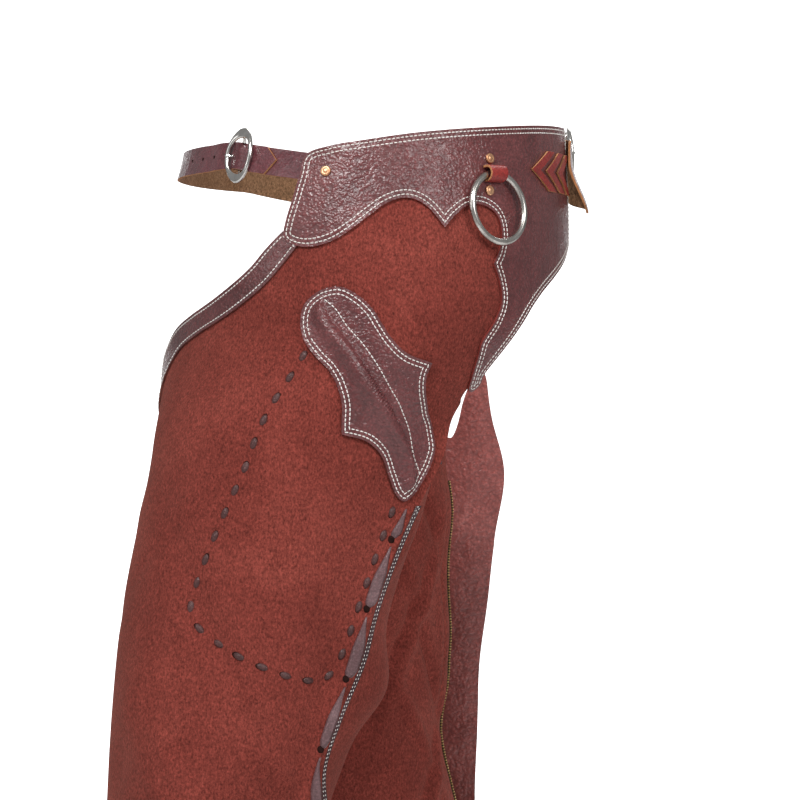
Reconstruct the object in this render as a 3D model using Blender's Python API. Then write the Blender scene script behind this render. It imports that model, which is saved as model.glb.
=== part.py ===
"""Work chaps as worn: two rough-out leather legs, scalloped yokes, straps with buckles and a hip ring.

Metres, +Z up. The wearer faces -Y and the left leg is at +X. The origin is the centre of the waist.
Every flat piece is an outline in two surface values: the angle round one leg, in degrees, and the
height z. The angle is 0 at the outside of the leg, -90 at the front, -180 inside and 90 at the back.
"""
import math
from collections import namedtuple

import bmesh
import bpy
import numpy as np
from mathutils import Matrix, Vector
from mathutils.geometry import delaunay_2d_cdt

# Driving sizes
HEM_Z = -0.94
LEATHER = 0.0018
SEAM_GAP = 0.0003
TRIM = 0.0014
TAPE = 0.0009
STRAP_WIDTH = 0.020
WRAP_INSET = 0.006
RING_OUTER = 0.0555
RING_WIRE = 0.0050
RING_ANGLE = 35.9
RING_TOP_Z = -0.0226
RING_LIFT = 0.0007
LOOP_WIDTH = 0.016
LOOP_CLEARANCE = 0.0018
BUCKLE_WIDTH = 0.028
BUCKLE_HEIGHT = 0.038
BUCKLE_WIRE = 0.0040
RIVET_SIZE = 0.0078
BAR_LIFT = 0.0044
BAR_SPREAD = 1.8
FRONT_BUCKLE_ANGLE = -38.5
BACK_BUCKLE_ANGLE = 89.0

# Layers, outwards from the inside face of the leg
ON_LEG = LEATHER + SEAM_GAP
ON_YOKE = ON_LEG + LEATHER + SEAM_GAP

# Grid that every flat piece is cut along, so that layers fit each other
COLUMN_STEP = 12.0
COLUMN_START = -90.0 - 22 * COLUMN_STEP
COLUMN_COUNT = 41
ROW_HEIGHTS = (
    [0.030 - 0.030 * i for i in range(6)]
    + [-0.120 - 0.025 * i for i in range(1, 5)]
    + [-0.220 - 0.040 * i for i in range(1, 20)]
)
HEIGHT_SCALE = 500.0

HipRow = namedtuple("HipRow", "z half_width fore back")
HIP = (
    HipRow(0.060, 0.170, 0.133, 0.143),
    HipRow(0.000, 0.178, 0.141, 0.147),
    HipRow(-0.060, 0.190, 0.156, 0.149),
    HipRow(-0.120, 0.196, 0.156, 0.147),
    HipRow(-0.200, 0.198, 0.150, 0.132),
)
LegRow = namedtuple("LegRow", "z out left_y right_y half_width half_depth")
LEG = (
    LegRow(-0.120, 0.100, -0.035, -0.045, 0.104, 0.116),
    LegRow(-0.220, 0.106, -0.0498, -0.044, 0.098, 0.1073),
    LegRow(-0.330, 0.112, -0.0778, -0.038, 0.096, 0.0998),
    LegRow(-0.480, 0.122, -0.107, -0.020, 0.092, 0.0830),
    LegRow(-0.700, 0.134, -0.096, 0.006, 0.088, 0.0880),
    LegRow(-1.000, 0.146, -0.070, 0.034, 0.092, 0.1020),
)
# The flap behind each zip hangs flatter than the leg, and ends here
FlapRow = namedtuple("FlapRow", "z out back")
LEFT_FLAP = (
    FlapRow(-0.190, 0.150, 0.070),
    FlapRow(-0.220, 0.158, 0.0565),
    FlapRow(-0.250, 0.166, 0.0430),
    FlapRow(-0.300, 0.178, 0.0217),
    FlapRow(-0.340, 0.184, 0.0080),
    FlapRow(-0.372, 0.187, 0.0001),
    FlapRow(-0.416, 0.190, -0.0180),
    FlapRow(-0.448, 0.191, -0.0284),
    FlapRow(-0.500, 0.192, -0.0230),
    FlapRow(-0.600, 0.193, -0.0120),
    FlapRow(-0.700, 0.197, 0.0020),
    FlapRow(-0.800, 0.203, 0.0080),
    FlapRow(-1.000, 0.206, 0.0360),
)
RIGHT_FLAP = (
    FlapRow(-0.110, 0.150, 0.0935),
    FlapRow(-0.165, 0.155, 0.0938),
    FlapRow(-0.200, 0.160, 0.0958),
    FlapRow(-0.240, 0.165, 0.1017),
    FlapRow(-0.300, 0.169, 0.0900),
    FlapRow(-0.350, 0.172, 0.0842),
    FlapRow(-0.400, 0.174, 0.0780),
    FlapRow(-0.460, 0.175, 0.0767),
    FlapRow(-0.510, 0.176, 0.0763),
    FlapRow(-0.600, 0.178, 0.0848),
    FlapRow(-0.720, 0.182, 0.1000),
    FlapRow(-0.840, 0.184, 0.1200),
    FlapRow(-1.000, 0.186, 0.1480),
)
FLAP_START = 34.0
FLAP_END = {1: 58.0, -1: 90.0}
FLAP_TOP = {1: (-0.185, -0.240), -1: (-0.105, -0.165)}
DEGREE_ON_FLAP = {1: 0.0014, -1: 0.0016}
# Largest folds: centre, tilt in metres of height per degree, half length and half width in degrees
FoldRow = namedtuple("FoldRow", "side angle z slant length width height")
FOLDS = (
    FoldRow(1, -30, -0.430, -0.0013, 34, 0.030, 0.0045),
    FoldRow(1, -5, -0.520, -0.0018, 40, 0.034, 0.0050),
    FoldRow(1, -95, -0.560, 0.0006, 44, 0.032, 0.0040),
    FoldRow(1, -200, -0.500, 0.0008, 50, 0.036, 0.0045),
    FoldRow(1, -60, -0.820, 0.0010, 46, 0.036, 0.0045),
    FoldRow(-1, -20, -0.460, -0.0012, 40, 0.034, 0.0045),
    FoldRow(-1, -150, -0.400, 0.0011, 44, 0.036, 0.0045),
    FoldRow(-1, -215, -0.330, -0.0010, 40, 0.036, 0.0055),
    FoldRow(-1, -90, -0.620, -0.0008, 50, 0.036, 0.0045),
    FoldRow(-1, -10, -0.800, 0.0012, 44, 0.036, 0.0040),
    FoldRow(-1, -264, -0.265, 0.0000, 26, 0.028, 0.0050),
    FoldRow(-1, -264, -0.372, 0.0000, 24, 0.026, 0.0030),
    FoldRow(-1, -264, -0.448, 0.0000, 24, 0.024, -0.0050),
    FoldRow(-1, -264, -0.520, 0.0004, 30, 0.030, 0.0055),
    FoldRow(-1, -266, -0.370, 0.0000, 12, 0.150, 0.0024),
    FoldRow(1, -270, -0.398, 0.0000, 28, 0.0325, 0.0190),
)
HEM_WAVE = 0.0050
HEM_WAVES = 4.0

Edge = namedtuple("Edge", "angle z")
YOKE_TOP = (
    Edge(81, 0.0200), Edge(61, 0.0178), Edge(41, 0.0136), Edge(24, 0.0093), Edge(12, 0.0055),
    Edge(-1, 0.0002), Edge(-11, -0.0040), Edge(-17.5, -0.0100),
)
YOKE_FRONT = (Edge(-18.8, -0.024), Edge(-20.3, -0.043), Edge(-21.8, -0.060), Edge(-22.0, -0.069))
YOKE_SCALLOP = (
    Edge(-20.5, -0.0735), Edge(-15.8, -0.0766), Edge(-9.9, -0.0735), Edge(-4.8, -0.0655),
    Edge(0.9, -0.0535), Edge(5.7, -0.0448), Edge(10.5, -0.0416), Edge(14.8, -0.0452),
    Edge(21.1, -0.0623), Edge(24.4, -0.0526), Edge(28.5, -0.0456), Edge(33.0, -0.0454),
    Edge(37.3, -0.0515), Edge(39.2, -0.0640), Edge(38.4, -0.0770), Edge(36.4, -0.0870),
    Edge(38.6, -0.1000), Edge(39.6, -0.1130), Edge(38.2, -0.1280), Edge(37.4, -0.1420),
    Edge(40.0, -0.1520), Edge(47.4, -0.1690), Edge(54.2, -0.1780),
)
YOKE_SEAT = (
    Edge(55.6, -0.1770), Edge(50.7, -0.1640), Edge(48.4, -0.1450), Edge(49.8, -0.1270),
    Edge(56.4, -0.1080), Edge(64.2, -0.0950), Edge(74.0, -0.0810), Edge(81, -0.0690),
)
CUT_TOP = (
    Edge(-23.8, -0.0664), Edge(-27.1, -0.0771), Edge(-31.9, -0.0905), Edge(-38.4, -0.1028),
    Edge(-45.8, -0.1135), Edge(-54.7, -0.1232), Edge(-64.2, -0.1334), Edge(-73.4, -0.1470),
    Edge(-90, -0.1680), Edge(-110, -0.1880), Edge(-140, -0.2040), Edge(-180, -0.2120),
    Edge(-225, -0.2160), Edge(-262, -0.2200),
)
BINDING_DEPTH = 0.0165
LEG_TOP = (Edge(44, -0.150), Edge(45, -0.100), Edge(45, -0.060), Edge(44, -0.026), Edge(4, -0.026),
           Edge(-6, -0.050), Edge(-18.5, -0.056))
LEFT_BACK = (
    Edge(54.8, -0.1830), Edge(58.5, -0.1880), Edge(61.0, -0.1970), Edge(61.5, -0.2070), Edge(60.0, -0.2200),
    Edge(58.0, -0.2380), Edge(58.0, HEM_Z),
)
RIGHT_BACK = (
    Edge(54.8, -0.1820), Edge(60.0, -0.2000), Edge(66.0, -0.2120), Edge(71.0, -0.2160), Edge(74.0, -0.2110),
    Edge(76.0, -0.2000), Edge(76.5, -0.1880), Edge(77.5, -0.1760), Edge(80.0, -0.1665), Edge(84.0, -0.1625),
    Edge(88.0, -0.1660), Edge(90.0, -0.1790), Edge(90.0, HEM_Z),
)
LEFT_WRAP_END = (
    Edge(-262, -0.2200), Edge(-285, -0.2300), Edge(-310, -0.2480), Edge(-326, -0.2750), Edge(-334, -0.3200),
    Edge(-338, -0.4000), Edge(-336, -0.5000), Edge(-338, -0.6400), Edge(-334, -0.8000), Edge(-336, HEM_Z),
)
RIGHT_WRAP_END = (Edge(-262, -0.2200), Edge(-266, -0.2400), Edge(-266, HEM_Z))
POCKET = (
    Edge(-15.4, -0.1430), Edge(-17.2, -0.1310), Edge(-16.7, -0.1194), Edge(-14.5, -0.1120),
    Edge(-11.1, -0.1066), Edge(-6.9, -0.1053), Edge(-3.0, -0.1103), Edge(0.9, -0.1196), Edge(4.5, -0.1317),
    Edge(8.9, -0.1423), Edge(15.6, -0.1520), Edge(26.0, -0.1585), Edge(27.6, -0.1660), Edge(31.1, -0.1744),
    Edge(42.0, -0.1915), Edge(50.6, -0.2042), Edge(54.6, -0.2180), Edge(54.6, -0.2300), Edge(53.9, -0.2430),
    Edge(52.4, -0.2530), Edge(49.8, -0.2575), Edge(44.8, -0.2523), Edge(38.8, -0.2399), Edge(33.1, -0.2248),
    Edge(26.0, -0.2154), Edge(14.6, -0.2100), Edge(12.2, -0.2020), Edge(8.4, -0.1906), Edge(2.2, -0.1773),
    Edge(-4.4, -0.1647), Edge(-10.5, -0.1548),
)
POCKET_RIDGE = (
    Edge(-11.1, -0.1159), Edge(-9.3, -0.1275), Edge(-4.9, -0.1397), Edge(2.9, -0.1567),
    Edge(14.5, -0.1755), Edge(28.9, -0.1946), Edge(41.3, -0.2133), Edge(47.1, -0.2294), Edge(50.4, -0.2420),
)
POCKET_RIDGE_HEIGHT = 0.0028
POCKET_RIDGE_WIDTH = 5.0
FACING_WIDTH = 0.0042
TAPE_WIDTH = 8.0
TAPE_FROM_EDGE = {1: 36.0, -1: 38.0}
StrapRow = namedtuple("StrapRow", "angle z")
FRONT_LINE = (StrapRow(-172, -0.0200), StrapRow(-163, -0.0183), StrapRow(-137, -0.0092), StrapRow(-90, -0.0085),
              StrapRow(-43, -0.0080), StrapRow(-17, -0.0183), StrapRow(-8, -0.0200))
BACK_LINE_Z = 0.0020
CHEVRON_TIPS = (51.5, 59.0, 66.5)
CHEVRON_REACH = 9.0
CHEVRON_HALF_HEIGHT = 0.0150
CHEVRON_Z = -0.0165
CHEVRON_WIDTH = 0.0112
FLOAT_PITCH = 0.050
FLOAT_LENGTH = 0.0435
FLOAT_WIDTH = 0.0086
FLOAT_TOP = -0.2910
FLOAT_FIRST_TOP = -0.2640
FLOAT_END = -0.2850
FLOAT_TAPER = (0.020, 0.008)
FLOAT_COUNT = 13
FACING_TOP = -0.262


def curve(rows, column, at):
    """Smooth curve through one column of a table, read at height z."""
    table = sorted((row.z, getattr(row, column)) for row in rows)
    x, y = np.array(table).T
    slope = np.gradient(y, x)
    at = np.clip(at, x[0], x[-1])
    i = np.clip(np.searchsorted(x, at) - 1, 0, len(x) - 2)
    h = x[i + 1] - x[i]
    t = (at - x[i]) / h
    start = (2 * t**3 - 3 * t**2 + 1) * y[i] + (t**3 - 2 * t**2 + t) * h * slope[i]
    end = (3 * t**2 - 2 * t**3) * y[i + 1] + (t**3 - t**2) * h * slope[i + 1]
    return start + end


def ease(start, end, x):
    """Smooth step from 0 at start to 1 at end."""
    t = np.clip((x - start) / (end - start), 0, 1)
    return t * t * (3 - 2 * t)


def hip_point(angle, z):
    """Points on the hip, as outward and back distances. Lower down it stays on its own side."""
    flat = np.minimum(np.abs(angle), 80) + 0.12 * np.maximum(np.abs(angle) - 80, 0)
    own_side = np.sign(angle) * np.minimum(flat, 90)
    turn = np.radians(angle + (own_side - angle) * ease(-0.060, -0.120, z))
    depth = np.where(np.sin(turn) > 0, curve(HIP, "back", z), curve(HIP, "fore", z))
    return np.stack([curve(HIP, "half_width", z) * np.cos(turn), depth * np.sin(turn)], -1)


def leg_point(side, angle, z):
    """Points on one leg. Past the inside of the leg the wrap lies a little nearer to it."""
    inset = WRAP_INSET * ease(-190, -280, angle)
    turn = np.radians(angle)
    middle = curve(LEG, "left_y" if side > 0 else "right_y", z)
    out = curve(LEG, "out", z) + (curve(LEG, "half_width", z) - inset) * np.cos(turn)
    back = middle + (curve(LEG, "half_depth", z) - inset) * np.sin(turn)
    return np.stack([out, back], -1)


def base_point(side, angle, z):
    """Points on the hip above and on the leg below, before the flap is bent."""
    blend = ease(-0.12, -0.22, z)[..., None]
    return hip_point(angle, z) * (1 - blend) + leg_point(side, angle, z) * blend


def on_flap(side, angle, z, point):
    """Let the leather behind the zip hang flatter than the leg."""
    rows = LEFT_FLAP if side > 0 else RIGHT_FLAP
    start = base_point(side, np.full_like(z, FLAP_START), z)
    ahead = base_point(side, np.full_like(z, FLAP_START + 10), z)
    end = np.stack([curve(rows, "out", z), curve(rows, "back", z)], -1)
    t = ((angle - FLAP_START) / (FLAP_END[side] - FLAP_START))[..., None]
    half_way = np.linalg.norm(end - start, axis=-1, keepdims=True) / 2
    control = start + (ahead - start) / np.linalg.norm(ahead - start, axis=-1, keepdims=True) * half_way
    bent = (1 - t) ** 2 * start + 2 * t * (1 - t) * control + t**2 * end
    weight = (ease(*FLAP_TOP[side], z) * (angle > FLAP_START))[..., None]
    return point + (bent - point) * weight


def fold_height(side, angle, z):
    """Height of the large folds and of the hem's waves."""
    total = HEM_WAVE * np.sin(np.radians(angle) * HEM_WAVES + side) * ease(-0.62, HEM_Z, z)
    for fold in FOLDS:
        if fold.side == side:
            along = (angle - fold.angle) / fold.length
            across = (z - fold.z - fold.slant * (angle - fold.angle)) / fold.width
            total = total + fold.height * np.exp(-along**2 - across**2)
    return total * ease(-0.20, -0.30, z)


def smooth_point(side, angle, z):
    """Points of the smooth surface inside one half of the garment."""
    angle, z = np.broadcast_arrays(np.asarray(angle, float), np.asarray(z, float))
    flat = on_flap(side, angle, z, base_point(side, angle, z))
    lift = fold_height(side, angle, z)
    turn = np.radians(angle)
    flat = flat + np.stack([np.cos(turn), np.sin(turn)], -1) * lift[..., None]
    return np.stack([side * flat[..., 0], flat[..., 1], z], -1)


def smooth_normal(side, angle, z):
    """Outward normals of the smooth surface."""
    step = 0.5
    around = smooth_point(side, angle + step, z) - smooth_point(side, angle - step, z)
    rise = smooth_point(side, angle, z + 0.001) - smooth_point(side, angle, z - 0.001)
    normal = np.cross(around, rise) * side
    return normal / np.maximum(np.linalg.norm(normal, axis=-1, keepdims=True), 1e-9)


class Grid:
    """Facets of one half of the garment. Layers are these facets, moved outwards."""

    def __init__(self, side):
        self.side = side
        self.columns = COLUMN_START + COLUMN_STEP * np.arange(COLUMN_COUNT)
        self.rows = np.array(ROW_HEIGHTS)
        angle, z = np.meshgrid(self.columns, self.rows, indexing="ij")
        self.points = smooth_point(side, angle, z)
        self.normals = smooth_normal(side, angle, z)

    def corners(self, column, row):
        """A cell's two triangles, as grid places. The diagonal mirrors about the front and the back."""
        low = (column, row)
        far = (column + 1, row + 1)
        if math.sin(math.radians(2 * (self.columns[column] + COLUMN_STEP / 2))) > 0:
            return ((low, (column + 1, row), far), (low, far, (column, row + 1)))
        return ((low, (column + 1, row), (column, row + 1)), ((column + 1, row), far, (column, row + 1)))

    def place(self, angle, z):
        """Point and normal of the facet at one angle and height."""
        column = int(np.clip((angle - COLUMN_START) // COLUMN_STEP, 0, COLUMN_COUNT - 2))
        row = int(np.clip(np.searchsorted(-self.rows, -z) - 1, 0, len(self.rows) - 2))
        target = np.array([angle, z * HEIGHT_SCALE, 1.0])
        best = None
        for triangle in self.corners(column, row):
            flat = np.array([[self.columns[c], self.rows[r] * HEIGHT_SCALE, 1.0] for c, r in triangle]).T
            share = np.linalg.solve(flat, target)
            if best is None or share.min() > best[0].min():
                best = (share, triangle)
        share, triangle = best
        point = sum(w * self.points[c, r] for w, (c, r) in zip(share, triangle))
        normal = sum(w * self.normals[c, r] for w, (c, r) in zip(share, triangle))
        return point, normal


GRIDS = {1: Grid(1), -1: Grid(-1)}


def inside(outline, x, y):
    """Whether a point lies inside a closed outline."""
    odd = False
    for (x1, y1), (x2, y2) in zip(outline, outline[1:] + outline[:1]):
        if (y1 > y) != (y2 > y) and x < x1 + (y - y1) * (x2 - x1) / (y2 - y1):
            odd = not odd
    return odd


def cut_flat(grid, outline, cuts=()):
    """Cut an outline along the grid's lines and along extra angles. Gives flat points and triangles."""
    ring = [(e[0], e[1] * HEIGHT_SCALE) for e in outline]
    low_angle = min(p[0] for p in ring)
    high_angle = max(p[0] for p in ring)
    low_z = min(e[1] for e in outline)
    high_z = max(e[1] for e in outline)
    first = int((low_angle - COLUMN_START) // COLUMN_STEP)
    last = int((high_angle - COLUMN_START) // COLUMN_STEP) + 1
    top = max(0, int(np.searchsorted(-grid.rows, -high_z)) - 1)
    bottom = min(len(grid.rows) - 1, int(np.searchsorted(-grid.rows, -low_z)) + 1)
    points = [Vector(p) for p in ring]
    edges = [(i, (i + 1) % len(ring)) for i in range(len(ring))]
    known = {}
    for column in range(first, last):
        for row in range(top, bottom):
            for triangle in grid.corners(column, row):
                for spot in triangle:
                    if spot not in known:
                        known[spot] = len(points)
                        points.append(Vector((grid.columns[spot[0]], grid.rows[spot[1]] * HEIGHT_SCALE)))
                for a, b in zip(triangle, triangle[1:] + triangle[:1]):
                    edges.append((known[a], known[b]))
    for angle in cuts:
        points.extend((Vector((angle, low_z * HEIGHT_SCALE - 1)), Vector((angle, high_z * HEIGHT_SCALE + 1))))
        edges.append((len(points) - 2, len(points) - 1))
    flat, _, faces, _, _, _ = delaunay_2d_cdt(points, edges, [], 0, 0.02)
    kept = []
    for face in faces:
        middle = sum((flat[i] for i in face), Vector((0, 0))) / len(face)
        if inside(ring, middle.x, middle.y):
            kept.append(face)
    return flat, kept


def new_object(name, mesh, material):
    """Link an object to the garment's collection, with its material."""
    obj = bpy.data.objects.new(name, mesh)
    GARMENT.objects.link(obj)
    obj.data.materials.append(material)
    return obj


def sheet(name, side, outline, material, low, high, cuts=()):
    """A wall cut from the grid, between two layers. Each layer is a number or a function."""
    grid = GRIDS[side]
    flat, faces = cut_flat(grid, outline, cuts)
    bm = bmesh.new()
    layers = []
    for depth in (high, low):
        verts = {}
        for face in faces:
            for i in face:
                if i not in verts:
                    angle = flat[i].x
                    z = flat[i].y / HEIGHT_SCALE
                    point, normal = grid.place(angle, z)
                    distance = depth(angle, z) if callable(depth) else depth
                    verts[i] = bm.verts.new(point + normal * distance)
        layers.append(verts)
    outer, inner = layers
    sides = {}
    for face in faces:
        bm.faces.new([outer[i] for i in face])
        bm.faces.new([inner[i] for i in reversed(face)])
        for a, b in zip(face, face[1:] + face[:1]):
            key = (min(a, b), max(a, b))
            sides[key] = None if key in sides else (a, b)
    for pair in sides.values():
        if pair:
            a, b = pair
            bm.faces.new([outer[b], outer[a], inner[a], inner[b]])
    bmesh.ops.recalc_face_normals(bm, faces=bm.faces)
    if bm.calc_volume(signed=True) < 0:
        bmesh.ops.reverse_faces(bm, faces=bm.faces)
    mesh = bpy.data.meshes.new(name)
    bm.to_mesh(mesh)
    bm.free()
    mesh.shade_smooth()
    mesh.set_sharp_from_angle(angle=math.radians(35))
    return new_object(name, mesh, material)


def frame_at(side, angle, z, distance):
    """Axes on the surface: X forwards round the garment, Y up and Z outwards."""
    point, normal = GRIDS[side].place(angle, z)
    out = Vector(normal).normalized()
    up = (Vector((0, 0, 1)) - out * out.z).normalized()
    along = up.cross(out)
    turn = Matrix((along, up, out)).transposed().to_4x4()
    return Matrix.Translation(Vector(point) + out * distance) @ turn


def material(name, colour, roughness, metallic=0.0):
    made = bpy.data.materials.new(name)
    made.use_nodes = True
    shader = made.node_tree.nodes["Principled BSDF"]
    shader.inputs["Base Color"].default_value = (*colour, 1.0)
    shader.inputs["Roughness"].default_value = roughness
    shader.inputs["Metallic"].default_value = metallic
    return made


def shifted(line, width):
    """A line moved down by a width measured along the surface, square to the line."""
    moved = []
    for i, edge in enumerate(line):
        before = line[max(i - 1, 0)]
        after = line[min(i + 1, len(line) - 1)]
        per_degree = 0.0025 if edge.angle > -80 else 0.0018
        run = (after.angle - before.angle) * per_degree
        drop = after.z - before.z
        length = math.hypot(run, drop)
        moved.append(Edge(edge.angle - drop / length * width / per_degree, edge.z + run / length * width))
    return moved


def beside(line, start, end):
    """A strip between two distances, in degrees, to the front of a back edge."""
    near = [Edge(e.angle - start, e.z) for e in line]
    far = [Edge(e.angle - end, e.z) for e in reversed(line)]
    return near + far


def make_legs():
    for side, mark, back, end in ((1, "L", LEFT_BACK, LEFT_WRAP_END), (-1, "R", RIGHT_BACK, RIGHT_WRAP_END)):
        outline = list(LEG_TOP) + list(CUT_TOP[1:]) + list(end[1:]) + list(reversed(back)) + [Edge(50, -0.168)]
        sheet("leg_" + mark, side, outline, SUEDE, 0.0, LEATHER)


def make_yokes():
    outline = list(YOKE_TOP) + list(YOKE_FRONT) + list(YOKE_SCALLOP) + list(YOKE_SEAT)
    for side, mark in ((1, "L"), (-1, "R")):
        sheet("yoke_" + mark, side, outline, SMOOTH, ON_LEG, ON_LEG + LEATHER)


def make_bindings():
    line = list(CUT_TOP)
    line[0] = Edge(-24.6, -0.0690)
    low = [e for e in shifted(line, BINDING_DEPTH)]
    low[0] = Edge(-20.9, -0.0800)
    for side, mark in ((1, "L"), (-1, "R")):
        sheet("binding_" + mark, side, line + low[::-1], SMOOTH, ON_LEG, ON_LEG + TRIM)


def make_facings():
    for side, mark in ((1, "L"), (-1, "R")):
        line = [Edge(FLAP_END[side], FACING_TOP), Edge(FLAP_END[side], HEM_Z)]
        sheet("facing_" + mark, side, beside(line, 0.0, FACING_WIDTH / DEGREE_ON_FLAP[side]), SMOOTH, ON_LEG,
              ON_LEG + TRIM)


def make_zip_tapes():
    for side, mark, end in ((1, "L", LEFT_WRAP_END), (-1, "R", RIGHT_WRAP_END)):
        inner = [e for e in end if e.z < -0.270] if side > 0 else [Edge(-266, -0.250), Edge(-266, HEM_Z)]
        tape = [Edge(e.angle - 1.5, e.z) for e in inner] + [Edge(e.angle + TAPE_WIDTH, e.z) for e in reversed(inner)]
        sheet("zip_inner_" + mark, side, tape, TAPE_CLOTH, -SEAM_GAP - TAPE, -SEAM_GAP)
        outer = [Edge(FLAP_END[side], -0.284), Edge(FLAP_END[side], HEM_Z)]
        near = TAPE_FROM_EDGE[side]
        sheet("zip_outer_" + mark, side, beside(outer, near, near + TAPE_WIDTH), TAPE_CLOTH,
              -SEAM_GAP - TAPE, -SEAM_GAP)


def float_spans():
    """Top and lower end of each stretch of the running lace. Only part of the first one shows."""
    spans = [(FLOAT_FIRST_TOP, FLOAT_END)]
    for index in range(FLOAT_COUNT - 1):
        top = FLOAT_TOP - index * FLOAT_PITCH
        spans.append((top, top - FLOAT_LENGTH))
    return spans


def make_floats():
    """The wide running lace beside each back edge shows as separate stretches."""
    for side, mark in ((1, "L"), (-1, "R")):
        half = FLOAT_WIDTH / 2 / DEGREE_ON_FLAP[side]
        middle = FLAP_END[side] - (FACING_WIDTH + SEAM_GAP) / DEGREE_ON_FLAP[side] - half
        tip = half * 0.25
        for index, (top, low) in enumerate(float_spans(), 1):
            upper = top - min(FLOAT_TAPER[0], (top - low) / 2)
            lower = low + FLOAT_TAPER[1]
            outline = [
                Edge(middle + tip, top), Edge(middle + half, upper), Edge(middle + half, lower),
                Edge(middle + tip, low), Edge(middle - tip, low), Edge(middle - half, lower),
                Edge(middle - half, upper), Edge(middle - tip, top),
            ]
            sheet(f"lace_{mark}_{index}", side, outline, LACE, ON_LEG, ON_LEG + TRIM)


def ridge(angle, z):
    """Outer layer of the knife pocket, raised along its pouch."""
    nearest = min(math.hypot(angle - e.angle, (z - e.z) * 400) for e in densified(POCKET_RIDGE, 4))
    return ON_LEG + LEATHER + POCKET_RIDGE_HEIGHT * math.exp(-((nearest / POCKET_RIDGE_WIDTH) ** 2))


def densified(line, parts):
    """A line with extra points between its own."""
    made = []
    for a, b in zip(line, line[1:]):
        for i in range(parts):
            t = i / parts
            made.append(Edge(a.angle + (b.angle - a.angle) * t, a.z + (b.z - a.z) * t))
    return made + [line[-1]]


def make_pocket():
    sheet("knife_pocket", 1, list(POCKET), SMOOTH, ON_LEG, ridge)


def strap_outline(first, last, tip):
    """A strap along the front line, from one angle to another, with a point at the last end."""
    rows = [(r.angle, r.z) for r in FRONT_LINE]
    angles = np.linspace(first, last, 15)
    centres = np.interp(angles, *zip(*rows))
    half = STRAP_WIDTH / 2
    upper = [Edge(a, z + half) for a, z in zip(angles, centres)]
    lower = [Edge(a, z - half) for a, z in zip(angles, centres)]
    point = [Edge(last + tip, float(centres[-1]))] if tip else []
    return upper + point + lower[::-1]


def over_bar(bar_angle, from_angle, to_angle):
    """Layer of a billet: against the hip, then over its partner and over the buckle's bar."""
    def layer(angle, z):
        lift = ON_LEG * float(ease(from_angle, to_angle, angle))
        return lift + BAR_LIFT * math.exp(-(((angle - bar_angle) / BAR_SPREAD) ** 2))
    return layer


def plus(layer, amount):
    """The same layer, further out."""
    return lambda angle, z: layer(angle, z) + amount


def bar_cuts(angle):
    return [angle + d for d in (-4.2, -3.0, -2.0, -1.0, 0.0, 1.0, 2.0, 3.0, 4.2)]


def make_front_straps():
    sheet("front_strap_L", 1, strap_outline(-8, -45.0, 0), STRAP, 0.0, LEATHER)
    low = over_bar(FRONT_BUCKLE_ANGLE, -54, -47.5)
    cuts = [-54, -52.4, -50.8, -49.2, -47.5] + bar_cuts(FRONT_BUCKLE_ANGLE)
    sheet("front_billet_R", 1, strap_outline(-172, -30, 3.4), STRAP, low, plus(low, LEATHER), cuts)


def back_droop(angle, z):
    """Layer of the back billet: under the right yoke, over the buckle's bar, then hanging outwards."""
    lift = ON_LEG * float(ease(98.0, 95.0, angle))
    bar = BAR_LIFT * math.exp(-(((angle - BACK_BUCKLE_ANGLE) / BAR_SPREAD) ** 2))
    hang = float(ease(84.0, 81.4, angle))
    return lift + bar + hang * (0.0044 + 0.011 * float(ease(-0.006, -0.046, z)))


def make_back_straps():
    half = STRAP_WIDTH / 2
    top = BACK_LINE_Z + half
    low = BACK_LINE_Z - half
    strap = [Edge(68, top), Edge(94, top), Edge(94, low), Edge(68, low)]
    sheet("back_strap_L", 1, strap, STRAP, 0.0, LEATHER)
    billet = [Edge(112, top), Edge(84.6, top), Edge(80.0, top - 0.003), Edge(77.6, top - 0.013), Edge(77.0, -0.036),
              Edge(80.2, -0.045), Edge(83.4, -0.037), Edge(83.8, -0.016), Edge(85.2, low), Edge(112, low)]
    cuts = [98, 97, 96, 95] + bar_cuts(BACK_BUCKLE_ANGLE) + [84, 83, 82, 81.4]
    sheet("back_billet_R", 1, billet, STRAP, back_droop, plus(back_droop, LEATHER), cuts)


def bent_ring(name, width, height, wire, high, dip, segments, rings, mat):
    """A flat oval ring of wire. Its top and bottom dip towards the strap."""
    bm = bmesh.new()
    verts = []
    for i in range(segments):
        turn = 2 * math.pi * i / segments
        centre = Vector((math.cos(turn) * (width - wire) / 2, math.sin(turn) * (height - wire) / 2, 0))
        outward = Vector((math.cos(turn), math.sin(turn), 0))
        centre.z = high - dip * math.sin(turn) ** 2
        ring = []
        for j in range(rings):
            roll = 2 * math.pi * (j + 0.5) / rings
            offset = outward * math.cos(roll) + Vector((0, 0, math.sin(roll)))
            ring.append(bm.verts.new(centre + offset * wire / 2))
        verts.append(ring)
    for i in range(segments):
        for j in range(rings):
            a, b = verts[i], verts[(i + 1) % segments]
            bm.faces.new([a[j], b[j], b[(j + 1) % rings], a[(j + 1) % rings]])
    bmesh.ops.recalc_face_normals(bm, faces=bm.faces)
    mesh = bpy.data.meshes.new(name)
    bm.to_mesh(mesh)
    bm.free()
    mesh.shade_smooth()
    return new_object(name, mesh, mat)


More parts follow.
